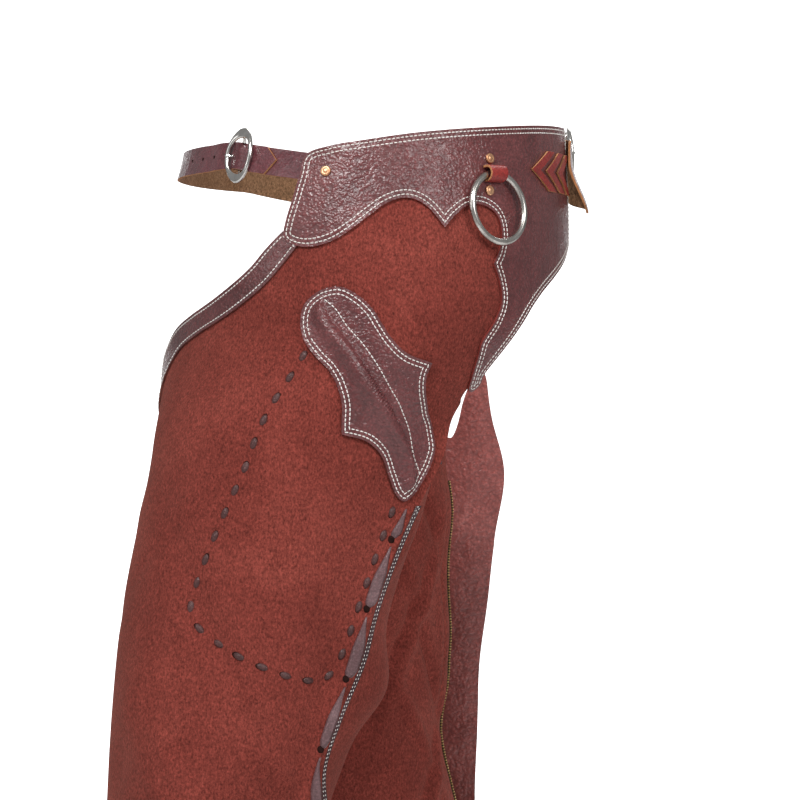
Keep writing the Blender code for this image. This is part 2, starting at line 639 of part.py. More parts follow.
def make_buckle(name, angle, z, tilt):
    """An oval frame with a centre bar that lies under the billet and over the strap."""
    high = ON_LEG + LEATHER + SEAM_GAP + BUCKLE_WIRE / 2 + 0.0013
    bar_wire = 0.0026
    bar_height = ON_LEG + bar_wire / 2 + 0.0003
    frame = bent_ring(name, BUCKLE_WIDTH, BUCKLE_HEIGHT, BUCKLE_WIRE, high, 0.0016, 24, 6, NICKEL)
    place = frame_at(1, angle, z, 0.0) @ Matrix.Rotation(math.radians(tilt), 4, "Z")
    frame.data.transform(place)
    bpy.ops.mesh.primitive_cylinder_add(vertices=12, radius=bar_wire / 2, depth=BUCKLE_HEIGHT - BUCKLE_WIRE)
    bar = bpy.context.object
    bar.name = name + "_bar_tool"
    bar.data.transform(Matrix.Rotation(math.radians(90), 4, "X"))
    bar.data.transform(Matrix.Translation((0, 0, bar_height)))
    bar.data.transform(place)
    to_tools(bar)
    union = frame.modifiers.new("Bar", "BOOLEAN")
    union.operation = "UNION"
    union.solver = "EXACT"
    union.object = bar


def to_tools(obj):
    """Keep a cutting or joining shape out of sight."""
    for collection in list(obj.users_collection):
        collection.objects.unlink(obj)
    TOOLS.objects.link(obj)
    obj.hide_render = True
    obj.display_type = "WIRE"


def make_ring():
    """The hip ring hangs from the loop's middle. Its origin is on the hinge axis."""
    major = (RING_OUTER - RING_WIRE) / 2
    place = frame_at(1, RING_ANGLE, RING_TOP_Z, ON_YOKE + RING_LIFT + RING_WIRE / 2)
    bpy.ops.mesh.primitive_torus_add(major_segments=32, minor_segments=8, major_radius=major,
                                     minor_radius=RING_WIRE / 2)
    ring = bpy.context.object
    for collection in list(ring.users_collection):
        collection.objects.unlink(ring)
    GARMENT.objects.link(ring)
    ring.name = "hip_ring"
    ring.data.transform(Matrix.Translation((0, -major, 0)))
    ring.data.shade_smooth()
    ring.data.materials.append(NICKEL)
    ring.matrix_world = place


def make_loop():
    """A leather band over the top of the ring, from the yoke and back to it."""
    place = frame_at(1, RING_ANGLE, RING_TOP_Z, ON_YOKE + RING_LIFT + RING_WIRE / 2)
    inner = RING_WIRE / 2 + LOOP_CLEARANCE
    outer = inner + LEATHER
    foot = -(RING_WIRE / 2 + RING_LIFT - SEAM_GAP)
    half = LOOP_WIDTH / 2
    path = [(outer, foot)]
    for i in range(9):
        turn = math.pi * i / 8
        path.append((outer * math.cos(turn), outer * math.sin(turn)))
    path.append((-outer, foot))
    path.append((-inner, foot))
    for i in range(9):
        turn = math.pi * (8 - i) / 8
        path.append((inner * math.cos(turn), inner * math.sin(turn)))
    path.append((inner, foot))
    bm = bmesh.new()
    near = [bm.verts.new((-half, y, z)) for y, z in path]
    face = bm.faces.new(near)
    grown = bmesh.ops.extrude_face_region(bm, geom=[face])
    moved = [g for g in grown["geom"] if isinstance(g, bmesh.types.BMVert)]
    bmesh.ops.translate(bm, verts=moved, vec=(LOOP_WIDTH, 0, 0))
    bmesh.ops.recalc_face_normals(bm, faces=bm.faces)
    bmesh.ops.triangulate(bm, faces=bm.faces)
    mesh = bpy.data.meshes.new("ring_loop")
    bm.to_mesh(mesh)
    bm.free()
    mesh.transform(place)
    new_object("ring_loop", mesh, RED)


def make_rivet(name, side, angle, z, distance):
    """A low domed head, just over the leather that it holds."""
    bpy.ops.mesh.primitive_cone_add(vertices=16, radius1=RIVET_SIZE / 2, radius2=RIVET_SIZE * 0.32, depth=0.0016)
    rivet = bpy.context.object
    for collection in list(rivet.users_collection):
        collection.objects.unlink(rivet)
    GARMENT.objects.link(rivet)
    rivet.name = name
    rivet.data.transform(Matrix.Translation((0, 0, 0.0008)))
    rivet.data.transform(frame_at(side, angle, z, distance + 0.0002))
    rivet.data.materials.append(COPPER)


def make_chevrons():
    half = CHEVRON_HALF_HEIGHT
    band = CHEVRON_WIDTH / 0.0026
    for side, mark in ((1, "L"), (-1, "R")):
        for index, tip in enumerate(CHEVRON_TIPS, 1):
            arm = min(tip + CHEVRON_REACH, 79.6 - band)
            outline = [
                Edge(tip, CHEVRON_Z), Edge(arm, CHEVRON_Z - half), Edge(arm + band, CHEVRON_Z - half),
                Edge(tip + band, CHEVRON_Z), Edge(arm + band, CHEVRON_Z + half), Edge(arm, CHEVRON_Z + half),
            ]
            sheet(f"chevron_{mark}_{index}", side, outline, RED, ON_YOKE, ON_YOKE + TRIM)


for old in list(bpy.data.objects):
    bpy.data.objects.remove(old, do_unlink=True)
GARMENT = bpy.data.collections.new("work_chaps")
TOOLS = bpy.data.collections.new("shaping_tools")
bpy.context.scene.collection.children.link(GARMENT)
bpy.context.scene.collection.children.link(TOOLS)
SUEDE = material("suede_rust", (0.235, 0.048, 0.036), 0.95)
SMOOTH = material("smooth_oxblood", (0.115, 0.038, 0.038), 0.45)
STRAP = material("strap_oxblood", (0.102, 0.032, 0.038), 0.5)
LACE = material("lace_oxblood", (0.14, 0.05, 0.05), 0.45)
RED = material("red_leather", (0.155, 0.017, 0.014), 0.5)
NICKEL = material("nickel", (0.62, 0.60, 0.56), 0.25, 1.0)
COPPER = material("copper", (0.52, 0.24, 0.13), 0.35, 1.0)
TAPE_CLOTH = material("zip_tape", (0.10, 0.085, 0.04), 0.9)

make_legs()
make_yokes()
make_bindings()
make_facings()
make_zip_tapes()
make_floats()
make_pocket()
make_front_straps()
make_back_straps()
make_buckle("front_buckle", FRONT_BUCKLE_ANGLE, -0.0092, 2)
make_buckle("back_buckle", BACK_BUCKLE_ANGLE, BACK_LINE_Z, 0)
make_ring()
make_loop()
make_rivet("ring_rivet_upper", 1, 35.3, -0.0112, ON_YOKE)
make_rivet("ring_rivet_lower", 1, 34.9, -0.0345, ON_YOKE)
for flank, letter in ((1, "L"), (-1, "R")):
    make_rivet("front_rivet_" + letter, flank, -11.5, -0.0226, ON_YOKE)
make_chevrons()
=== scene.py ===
"""Work chaps as worn, dressed: rough-out legs, pebbled yokes, stitching, laces, zips, straps and metal.

Metres, +Z up. The wearer faces -Y and the left leg is at +X, as in the solids. Every flat piece is an
outline in the angle round one leg, in degrees, and the height z.
"""

import math
from collections import namedtuple

import bmesh
import bpy
import numpy as np
from mathutils import Matrix, Vector
from mathutils.geometry import delaunay_2d_cdt


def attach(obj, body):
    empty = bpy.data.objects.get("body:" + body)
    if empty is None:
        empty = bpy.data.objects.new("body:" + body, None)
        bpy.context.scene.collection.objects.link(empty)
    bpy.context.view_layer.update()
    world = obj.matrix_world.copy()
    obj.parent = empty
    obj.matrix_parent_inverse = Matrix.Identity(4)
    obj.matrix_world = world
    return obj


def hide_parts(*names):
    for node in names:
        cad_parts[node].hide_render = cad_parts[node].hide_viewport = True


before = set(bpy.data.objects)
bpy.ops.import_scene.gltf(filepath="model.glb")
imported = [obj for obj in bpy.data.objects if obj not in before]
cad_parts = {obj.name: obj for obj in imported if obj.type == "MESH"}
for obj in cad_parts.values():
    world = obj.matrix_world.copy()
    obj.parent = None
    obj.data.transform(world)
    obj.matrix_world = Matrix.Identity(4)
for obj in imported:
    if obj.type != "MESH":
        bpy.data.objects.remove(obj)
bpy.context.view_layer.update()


def table(kind, *rows):
    """Rows of numbers with the column names of their kind."""
    return tuple(kind(*row) for row in rows)


SIDES = ((1, "L"), (-1, "R"))

# Camera, fitted to the photograph's 800 by 800 frame
IMAGE_SIZE = 800
FOCAL_PIXELS = 3640
CAMERA_PLACE = (2.790, 0.023, -0.1857)
FLOOR_Z = -0.975

# Sizes that the solids have
HEM_Z = -0.94
LEATHER = 0.0018
SEAM_GAP = 0.0002
TRIM = 0.0014
TAPE = 0.0009
STRAP_WIDTH = 0.020
WRAP_INSET = 0.006
RING_OUTER = 0.0555
RING_WIRE = 0.0050
RING_ANGLE = 35.9
RING_TOP_Z = -0.0226
RING_LIFT = 0.0007
LOOP_WIDTH = 0.016
LOOP_CLEARANCE = 0.0018
BUCKLE_WIDTH = 0.028
BUCKLE_HEIGHT = 0.038
BUCKLE_WIRE = 0.0040
BAR_WIRE = 0.0026
RIVET_SIZE = 0.0078
BAR_LIFT = 0.0044
BAR_SPREAD = 3.0
FRONT_BUCKLE_ANGLE = -38.5
BACK_BUCKLE_ANGLE = 89.0
SOLID_GAP = 0.0003
ON_LEG = LEATHER + SOLID_GAP
ON_YOKE = ON_LEG + LEATHER + SOLID_GAP
# Metres of height are scaled up to stand beside degrees
HEIGHT_SCALE = 500.0
POCKET_SCALE = 400
# How closely outlines are followed in the grid that pieces are cut from
CELL_SAMPLES = 24
CELL_EDGE = 1e-3
SPOT_SCALE = 2000
CUT_NEARNESS = 1e-4
# Where the hip narrows towards the middle, gives way to the leg, and the wrap draws in
HIP_TURN = 80
HIP_SQUEEZE = 0.12
HIP_OWN_SIDE = (-0.060, -0.120)
HIP_TO_LEG = (-0.12, -0.22)
WRAP_ANGLES = (-190, -280)
HipRow = namedtuple("HipRow", "z half_width fore back")
HIP = table(HipRow,
    (0.06, 0.17, 0.133, 0.143), (0.0, 0.178, 0.141, 0.147), (-0.06, 0.19, 0.156, 0.149),
    (-0.12, 0.196, 0.156, 0.147), (-0.2, 0.198, 0.15, 0.132),
)
LegRow = namedtuple("LegRow", "z out left_y right_y half_width half_depth")
LEG = table(LegRow,
    (-0.12, 0.1, -0.035, -0.045, 0.104, 0.116), (-0.22, 0.106, -0.0498, -0.044, 0.098, 0.1073),
    (-0.33, 0.112, -0.0778, -0.038, 0.096, 0.0998), (-0.48, 0.122, -0.107, -0.02, 0.092, 0.083),
    (-0.7, 0.134, -0.096, 0.006, 0.088, 0.088), (-1.0, 0.146, -0.07, 0.034, 0.092, 0.102),
)
# The flap behind each zip hangs flatter than the leg, and ends here
FlapRow = namedtuple("FlapRow", "z out back")
LEFT_FLAP = table(FlapRow,
    (-0.19, 0.15, 0.07), (-0.22, 0.158, 0.0565), (-0.25, 0.166, 0.043), (-0.3, 0.178, 0.0217),
    (-0.34, 0.184, 0.008), (-0.372, 0.187, 0.0001), (-0.416, 0.19, -0.018), (-0.448, 0.191, -0.0284),
    (-0.5, 0.192, -0.023), (-0.6, 0.193, -0.012), (-0.7, 0.197, 0.002), (-0.8, 0.203, 0.008),
    (-1.0, 0.206, 0.036),
)
RIGHT_FLAP = table(FlapRow,
    (-0.11, 0.15, 0.0935), (-0.165, 0.155, 0.0938), (-0.2, 0.16, 0.0958), (-0.24, 0.165, 0.1017),
    (-0.3, 0.169, 0.09), (-0.35, 0.172, 0.0842), (-0.4, 0.174, 0.078), (-0.46, 0.175, 0.0767),
    (-0.51, 0.176, 0.0763), (-0.6, 0.178, 0.0848), (-0.72, 0.182, 0.1), (-0.84, 0.184, 0.12),
    (-1.0, 0.186, 0.148),
)
FLAP_START = 34.0
FLAP_END = {1: 58.0, -1: 90.0}
FLAP_TOP = {1: (-0.185, -0.240), -1: (-0.105, -0.165)}
DEGREE_ON_FLAP = {1: 0.0014, -1: 0.0016}
# Largest folds: centre, tilt in metres of height per degree, half length and half width in degrees
FoldRow = namedtuple("FoldRow", "side angle z slant length width height")
FOLDS = table(FoldRow,
    (1, -30, -0.43, -0.0013, 34, 0.03, 0.0045), (1, -5, -0.52, -0.0018, 40, 0.034, 0.005),
    (1, -95, -0.56, 0.0006, 44, 0.032, 0.004), (1, -200, -0.5, 0.0008, 50, 0.036, 0.0045),
    (1, -60, -0.82, 0.001, 46, 0.036, 0.0045), (-1, -20, -0.46, -0.0012, 40, 0.034, 0.0045),
    (-1, -150, -0.4, 0.0011, 44, 0.036, 0.0045), (-1, -215, -0.33, -0.001, 40, 0.036, 0.0055),
    (-1, -90, -0.62, -0.0008, 50, 0.036, 0.0045), (-1, -10, -0.8, 0.0012, 44, 0.036, 0.004),
    (-1, -264, -0.265, 0.0, 26, 0.028, 0.005), (-1, -264, -0.372, 0.0, 24, 0.026, 0.003),
    (-1, -264, -0.448, 0.0, 24, 0.024, -0.005), (-1, -264, -0.52, 0.0004, 30, 0.03, 0.0055),
    (-1, -266, -0.37, 0.0, 12, 0.15, 0.0024), (1, -270, -0.398, 0.0, 28, 0.0325, 0.019),
)
HEM_WAVE = 0.0050
HEM_WAVES = 4.0
HEM_WAVE_TOP = -0.62
FOLDS_START = (-0.20, -0.30)
CREASES_START = (-0.20, -0.27)
# Small steps in degrees and metres that slopes are measured over
SMOOTH_PROBE = (0.5, 0.001)
SETTLED_PROBE = (0.25, 0.0006)
INSET_PROBE = (0.2, 0.0005)
INSET_SHARE = 0.93
TINY = 1e-9
SHARP_ANGLE = 48
BEVEL_ANGLE = 60
UV_DEGREE = 0.002

Edge = namedtuple("Edge", "angle z")
YOKE_TOP = table(Edge,
    (81, 0.02), (61, 0.0178), (41, 0.0136), (24, 0.0093), (12, 0.0055), (-1, 0.0002), (-11, -0.004),
    (-17.5, -0.01),
)
YOKE_FRONT = table(Edge, (-18.8, -0.024), (-20.3, -0.043), (-21.8, -0.06), (-22.0, -0.069))
YOKE_SCALLOP = table(Edge,
    (-20.5, -0.0735), (-15.8, -0.0766), (-9.9, -0.0735), (-4.8, -0.0655), (0.9, -0.0535), (5.7, -0.0448),
    (10.5, -0.0416), (14.8, -0.0452), (21.1, -0.0623), (24.4, -0.0526), (28.5, -0.0456), (33.0, -0.0454),
    (37.3, -0.0515), (39.2, -0.064), (38.4, -0.077), (36.4, -0.087), (38.6, -0.1), (39.6, -0.113),
    (38.2, -0.128), (37.4, -0.142), (40.0, -0.152), (47.4, -0.169), (54.2, -0.178),
)
YOKE_SEAT = table(Edge,
    (55.6, -0.177), (50.7, -0.164), (48.4, -0.145), (49.8, -0.127), (56.4, -0.108), (64.2, -0.095),
    (74.0, -0.081), (81, -0.069),
)
CUT_TOP = table(Edge,
    (-23.8, -0.0664), (-27.1, -0.0771), (-31.9, -0.0905), (-38.4, -0.1028), (-45.8, -0.1135),
    (-54.7, -0.1232), (-64.2, -0.1334), (-73.4, -0.147), (-90, -0.168), (-110, -0.188), (-140, -0.204),
    (-180, -0.212), (-225, -0.216), (-262, -0.22),
)
BINDING_DEPTH = 0.0165
LEG_TOP = table(Edge,
    (44, -0.15), (45, -0.1), (45, -0.06), (44, -0.026), (4, -0.026), (-6, -0.05), (-18.5, -0.056),
)
LEFT_BACK = table(Edge,
    (54.8, -0.183), (58.5, -0.188), (61.0, -0.197), (61.5, -0.207), (60.0, -0.22), (58.0, -0.238),
    (58.0, HEM_Z),
)
RIGHT_BACK = table(Edge,
    (54.8, -0.182), (59.5, -0.2), (64.5, -0.2125), (68.5, -0.2165), (71.2, -0.211), (73.2, -0.2),
    (73.8, -0.188), (75.2, -0.176), (78.6, -0.1665), (83.6, -0.1625), (88.0, -0.166), (90.0, -0.179),
    (90.0, HEM_Z),
)
LEFT_WRAP_END = table(Edge,
    (-262, -0.22), (-285, -0.23), (-310, -0.248), (-326, -0.275), (-334, -0.32), (-338, -0.4), (-336, -0.5),
    (-338, -0.64), (-334, -0.8), (-336, HEM_Z),
)
RIGHT_WRAP_END = table(Edge, (-262, -0.22), (-266, -0.24), (-266, HEM_Z))
POCKET = table(Edge,
    (-15.4, -0.143), (-17.2, -0.131), (-16.7, -0.1194), (-14.5, -0.112), (-11.1, -0.1066), (-6.9, -0.1053),
    (-3.0, -0.1103), (0.9, -0.1196), (4.5, -0.1317), (8.9, -0.1423), (15.6, -0.152), (26.0, -0.1585),
    (27.6, -0.166), (31.1, -0.1744), (42.0, -0.1915), (50.6, -0.2042), (54.6, -0.218), (54.6, -0.23),
    (53.9, -0.243), (52.6, -0.2538), (50.2, -0.2583), (46.0, -0.2552), (38.8, -0.2399), (33.1, -0.2248),
    (26.0, -0.2154), (14.6, -0.21), (12.2, -0.202), (8.4, -0.1906), (2.2, -0.1773), (-4.4, -0.1647),
    (-10.5, -0.1548),
)
POCKET_RIDGE = table(Edge,
    (-11.1, -0.1159), (-9.3, -0.1275), (-4.9, -0.1397), (2.9, -0.1567), (14.5, -0.1755), (28.9, -0.1946),
    (41.3, -0.2133), (47.1, -0.2294), (50.4, -0.242),
)
# Trims. Steps are the grid's degrees and metres, and a row is the stitches' distance from the edge
FACING_WIDTH = 0.0042
FACING_TUCK = 0.0010
FACING_PLACES = 30
FACING_STEPS = (1.5, 0.0055)
FACING_ROW = 0.0010
FACING_PITCH = 0.0030
BINDING_START = (Edge(-22.4, -0.0650), Edge(-18.0, -0.0745))
BINDING_END = {1: -262, -1: -251}
BINDING_STEPS = (1.5, 0.0030)
BINDING_ROW = 0.0026
SIDES_CUT = ((1, "L", LEFT_BACK, LEFT_WRAP_END), (-1, "R", RIGHT_BACK, RIGHT_WRAP_END))
LEG_TOP_BACK = Edge(50, -0.168)
TAPE_WIDTH = 8.0
TAPE_FROM_EDGE = {1: 36.0, -1: 38.0}
TAPE_PLACES = 60
TAPE_STEPS = (1.0, 0.0060)
ZIP_TOP = {1: -0.270, -1: -0.250}
OUTER_ZIP_TOP = -0.284
StrapRow = namedtuple("StrapRow", "angle z")
FRONT_LINE = table(StrapRow,
    (-172, -0.02), (-163, -0.0183), (-137, -0.0092), (-90, -0.0085), (-43, -0.008), (-17, -0.0183),
    (-8, -0.02),
)
# Angles where each strap starts and ends. The back billet hangs down past the buckle
STRAP_PLACES = 40
FRONT_STRAP = (-8, -45.0)
FRONT_BILLET = (-172, -30, 3.4)
FRONT_OVERLAP = (-54, -47.5)
BACK_LINE_Z = 0.0020
BACK_STRAP = (68, 94)
BACK_BILLET = (112, 84.6, 85.2, 112)
BACK_DROOP = table(Edge, (80.0, 0.009), (77.6, -0.001), (77.0, -0.036), (80.2, -0.045), (83.4, -0.037),
                   (83.8, -0.016))
BACK_OVERLAP = (98.0, 95.0)
HANG_START = (84.0, 81.4)
HANG_LIFT = (0.0044, 0.011)
HANG_HEIGHTS = (-0.006, -0.046)
CHEVRON_TIPS = (51.5, 59.0, 66.5)
CHEVRON_REACH = 9.0
CHEVRON_HALF_HEIGHT = 0.0150
CHEVRON_Z = -0.0165
CHEVRON_WIDTH = 0.0112
CHEVRON_END = 79.6
CHEVRON_STEPS = (1.0, 0.0025)
DEGREE_ON_HIP = 0.0026
# The running lace's floats: pitch, size, heights, and how their ends narrow and sink
FLOAT_PITCH = 0.050
FLOAT_LENGTH = 0.0435
FLOAT_WIDTH = 0.0086
FLOAT_TOP = -0.2910
FLOAT_FIRST_TOP = -0.2640
FLOAT_END = -0.2850
FLOAT_TAPER = 0.025
FLOAT_FOOT = (-0.004, 0.006)
FLOAT_TIP = 0.22
FLOAT_SINK = (0.0014, 0.004)
FLOAT_CROWN = 0.0018
FLOAT_COUNT = 13
FLOAT_SLOT = (0.0056, 0.0050, 0.0014)
STRIP_STATIONS = 21
STRIP_PLACES = 9
FACING_TOP = -0.262
POCKET_SEAM = table(Edge,
    (-11.1, -0.1142), (-8.7, -0.1196), (-4.8, -0.1332), (1.5, -0.1467), (8.8, -0.16), (18.5, -0.1754),
    (31.1, -0.1924), (41.7, -0.209), (46.7, -0.2273), (52.0, -0.241),
)
# Rows of stitches, and the knife pocket's lip, groove and flat edge
YOKE_ROWS = (0.0024, 0.0056)
POCKET_LIP_HEIGHT = 0.0052
POCKET_LIP_WIDTH = 2.1
POCKET_LIP_MIDDLE = 1.9
POCKET_GROOVE = (0.0014, 0.55)
POCKET_FLAT_EDGE = (1.6, 4.6)
POCKET_STEPS = (0.32, 0.0009)
POCKET_CORNERS = (11, 25)
POCKET_ROWS = (0.0024, 0.0054)
# Zips, buckles' prongs, holes and the grid's steps on the larger pieces
TAPE_REACH = 1.8
TAPE_TURN = 0.0036
TOOTH_PITCH = 0.0022
TOOTH_SIZE = (0.0042, 0.0013, 0.0022)
PRONG_WIRE = 0.0017
PRONG_START = 0.0066
HOLE_SIZE = 0.0031
FRONT_HOLES = (-65.8, -58.1, -51.2)
LEG_STEPS = (1.7, 0.0048)
YOKE_STEPS = (1.0, 0.0026)
STRAP_STEPS = (1.2, 0.0034)
WORLD_LIGHT = 0.25
LOOK_AT = (0.10, 0.0, -0.45)
LIGHTS = (
    ("key", (1.6, -0.5, 1.3), 0.55, 30.0),
    ("fill", (2.2, 2.0, 1.2), 1.2, 38.0),
    ("side", (1.6, -2.4, 0.6), 1.4, 8.0),
    ("back", (-1.6, 0.6, 1.8), 1.6, 30.0),
)
# Length and width of a stitch, and the distance from one to the next
STITCH_SIZE = (0.0027, 0.00095)
STITCH_PITCH = 0.0033
FACING_STITCH = (0.0013, 0.0005)


def hermite(t, start, end, start_slope, end_slope):
    """A cubic from start to end that leaves and arrives with the two slopes."""
    return ((2 * t**3 - 3 * t**2 + 1) * start + (t**3 - 2 * t**2 + t) * start_slope
            + (3 * t**2 - 2 * t**3) * end + (t**3 - t**2) * end_slope)


def curve(rows, column, at):
    """Smooth curve through one column of a table, read at height z."""
    x, y = np.array(sorted((row.z, getattr(row, column)) for row in rows)).T
    slope = np.gradient(y, x)
    at = np.clip(at, x[0], x[-1])
    i = np.clip(np.searchsorted(x, at) - 1, 0, len(x) - 2)
    h = x[i + 1] - x[i]
    return hermite((at - x[i]) / h, y[i], y[i + 1], h * slope[i], h * slope[i + 1])


def ease(start, end, x):
    """Smooth step from 0 at start to 1 at end."""
    t = np.clip((x - start) / (end - start), 0, 1)
    return t * t * (3 - 2 * t)


def hip_point(angle, z):
    """Points on the hip, as outward and back distances. Lower down it stays on its own side."""
    flat = np.minimum(np.abs(angle), HIP_TURN) + HIP_SQUEEZE * np.maximum(np.abs(angle) - HIP_TURN, 0)
    own_side = np.sign(angle) * np.minimum(flat, 90)
    turn = np.radians(angle + (own_side - angle) * ease(*HIP_OWN_SIDE, z))
    depth = np.where(np.sin(turn) > 0, curve(HIP, "back", z), curve(HIP, "fore", z))
    return np.stack([curve(HIP, "half_width", z) * np.cos(turn), depth * np.sin(turn)], -1)


def leg_point(side, angle, z):
    """Points on one leg. Past the inside of the leg the wrap lies a little nearer to it."""
    inset = WRAP_INSET * ease(*WRAP_ANGLES, angle)
    turn = np.radians(angle)
    middle = curve(LEG, "left_y" if side > 0 else "right_y", z)
    out = curve(LEG, "out", z) + (curve(LEG, "half_width", z) - inset) * np.cos(turn)
    back = middle + (curve(LEG, "half_depth", z) - inset) * np.sin(turn)
    return np.stack([out, back], -1)


def base_point(side, angle, z):
    """Points on the hip above and on the leg below, before the flap is bent."""
    blend = ease(*HIP_TO_LEG, z)[..., None]
    return hip_point(angle, z) * (1 - blend) + leg_point(side, angle, z) * blend


def on_flap(side, angle, z, point):
    """Let the leather behind the zip hang flatter than the leg."""
    rows = LEFT_FLAP if side > 0 else RIGHT_FLAP
    start = base_point(side, np.full_like(z, FLAP_START), z)
    ahead = base_point(side, np.full_like(z, FLAP_START + 10), z)
    end = np.stack([curve(rows, "out", z), curve(rows, "back", z)], -1)
    t = ((angle - FLAP_START) / (FLAP_END[side] - FLAP_START))[..., None]
    half_way = np.linalg.norm(end - start, axis=-1, keepdims=True) / 2
    control = start + (ahead - start) / np.linalg.norm(ahead - start, axis=-1, keepdims=True) * half_way
    bent = (1 - t) ** 2 * start + 2 * t * (1 - t) * control + t**2 * end
    weight = (ease(*FLAP_TOP[side], z) * (angle > FLAP_START))[..., None]
    return point + (bent - point) * weight


def with_folds(rows, side, angle, z, total):
    """A height with the folds of this side added."""
    for fold in rows:
        if fold.side == side:
            along = (angle - fold.angle) / fold.length
            across = (z - fold.z - fold.slant * (angle - fold.angle)) / fold.width
            total = total + fold.height * np.exp(-along**2 - across**2)
    return total


def fold_height(side, angle, z):
    """Height of the large folds and of the hem's waves."""
    waves = HEM_WAVE * np.sin(np.radians(angle) * HEM_WAVES + side) * ease(HEM_WAVE_TOP, HEM_Z, z)
    return with_folds(FOLDS, side, angle, z, waves) * ease(*FOLDS_START, z)


def smooth_point(side, angle, z):
    """Points of the smooth surface inside one half of the garment."""
    angle, z = np.broadcast_arrays(np.asarray(angle, float), np.asarray(z, float))
    flat = on_flap(side, angle, z, base_point(side, angle, z))
    lift = fold_height(side, angle, z)
    turn = np.radians(angle)
    flat = flat + np.stack([np.cos(turn), np.sin(turn)], -1) * lift[..., None]
    return np.stack([side * flat[..., 0], flat[..., 1], z], -1)


def normal_of(surface, side, angle, z, probe):
    """Outward normals of a surface, from two small steps across it."""
    turn, rise = probe
    around = surface(side, angle + turn, z) - surface(side, angle - turn, z)
    up = surface(side, angle, z + rise) - surface(side, angle, z - rise)
    normal = np.cross(around, up) * side
    return normal / np.maximum(np.linalg.norm(normal, axis=-1, keepdims=True), TINY)


# Finer creases that only the dressed surface has
CREASES = table(FoldRow,
    (-1, -256.0, -0.36, 0.0, 2.6, 0.12, -0.0024), (-1, -250.0, -0.37, 0.0, 4.0, 0.1, 0.0016),
    (1, 36, -0.4165, -0.0015, 11, 0.006, 0.0022), (1, 28, -0.45, -0.0014, 17, 0.0075, 0.0034),
    (1, 22, -0.464, -0.0014, 18, 0.011, -0.0028), (1, -26, -0.33, -0.0022, 26, 0.02, -0.0034),
    (1, 0, -0.398, -0.0026, 22, 0.017, -0.0036), (1, -50, -0.4, 0.001, 15, 0.028, 0.0034),
    (1, -64, -0.455, 0.001, 14, 0.03, -0.003), (1, -16, -0.488, -0.0018, 20, 0.014, 0.0032),
    (1, -34, -0.25, 0.0016, 18, 0.018, 0.0024), (1, -58, -0.3, 0.0016, 26, 0.011, -0.0016),
    (1, -36, -0.385, -0.0012, 20, 0.012, 0.0018), (1, -20, -0.455, -0.0022, 16, 0.01, 0.0024),
    (1, 14, -0.47, -0.003, 12, 0.012, -0.002), (1, -44, -0.5, 0.002, 22, 0.012, -0.002),
    (1, 6, -0.555, -0.002, 26, 0.013, 0.0028), (1, -70, -0.64, 0.0012, 30, 0.014, 0.0024),
    (1, -6, -0.735, 0.0018, 32, 0.014, 0.0022), (1, 34, -0.64, -0.002, 20, 0.013, -0.0024),
    (1, -120, -0.3, 0.001, 34, 0.013, 0.0022), (1, -170, -0.42, -0.0012, 34, 0.014, 0.0026),
    (1, -230, -0.35, 0.001, 26, 0.013, -0.0026), (1, -262, -0.46, -0.0014, 26, 0.014, 0.003),
    (1, -290, -0.3, 0.0016, 20, 0.015, 0.003), (1, -210, -0.62, 0.0012, 34, 0.015, 0.0024),
    (1, -130, -0.76, -0.001, 36, 0.015, 0.0024), (-1, -22, -0.3, 0.0014, 28, 0.013, 0.002),
    (-1, -48, -0.42, -0.0016, 24, 0.013, 0.0024), (-1, 8, -0.52, 0.0018, 24, 0.014, -0.0024),
    (-1, -60, -0.7, 0.0014, 30, 0.014, 0.0024), (-1, -10, -0.64, -0.0014, 30, 0.014, 0.0022),
    (-1, -234, -0.262, 0.0034, 20, 0.015, -0.0052), (-1, -214, -0.3, 0.0026, 20, 0.013, 0.004),
    (-1, -230, -0.346, -0.0034, 18, 0.013, 0.0054), (-1, -216, -0.372, -0.003, 18, 0.012, -0.0046),
    (-1, -240, -0.398, 0.0028, 18, 0.012, -0.005), (-1, -222, -0.432, 0.0026, 20, 0.012, 0.0042),
    (-1, -200, -0.33, 0.0016, 26, 0.015, 0.003), (-1, -170, -0.48, -0.0012, 34, 0.015, 0.0024),
    (-1, -244, -0.47, -0.0026, 20, 0.012, 0.005), (-1, -228, -0.498, -0.0022, 22, 0.013, -0.004),
    (-1, -210, -0.62, 0.0012, 34, 0.015, 0.0024), (-1, -120, -0.82, -0.001, 36, 0.015, 0.0024),
    (-1, 62, -0.33, 0.001, 16, 0.016, 0.0026), (-1, 66, -0.47, -0.0014, 18, 0.018, -0.0028),
)

# The small lace runs down the front of the thigh, across it and up again beside the running lace
LACE_PATH = table(Edge,
    (-14.1, -0.1541), (-16.2, -0.1876), (-17.5, -0.2221), (-22.1, -0.26), (-26.0, -0.297), (-29.4, -0.3334),
    (-26.0, -0.344), (-10.6, -0.361), (10.3, -0.3763), (32.3, -0.3856), (41.0, -0.3835), (44.6, -0.3715),
    (46.6, -0.3441), (47.2, -0.3079), (46.8, -0.2665),
)
LACE_STITCHES = 26
LACE_SIZE = (0.0086, 0.0052, 0.0034)
LACE_NEAR = 0.004
LACE_DIP = 0.0010
LACE_DIP_WIDTH = 0.0060
LACE_SLOT = (0.0096, 0.0056, 0.0012)
LOOP_RINGS = 5
RIVET_PROFILE = ((0.97, 0.0), (1, 0.0004), (0.95, 0.0010), (0.84, 0.0013), (0.60, 0.0014), (0.52, 0.0013),
                 (0.46, 0.0013), (0.36, 0.0016), (0.18, 0.0017))
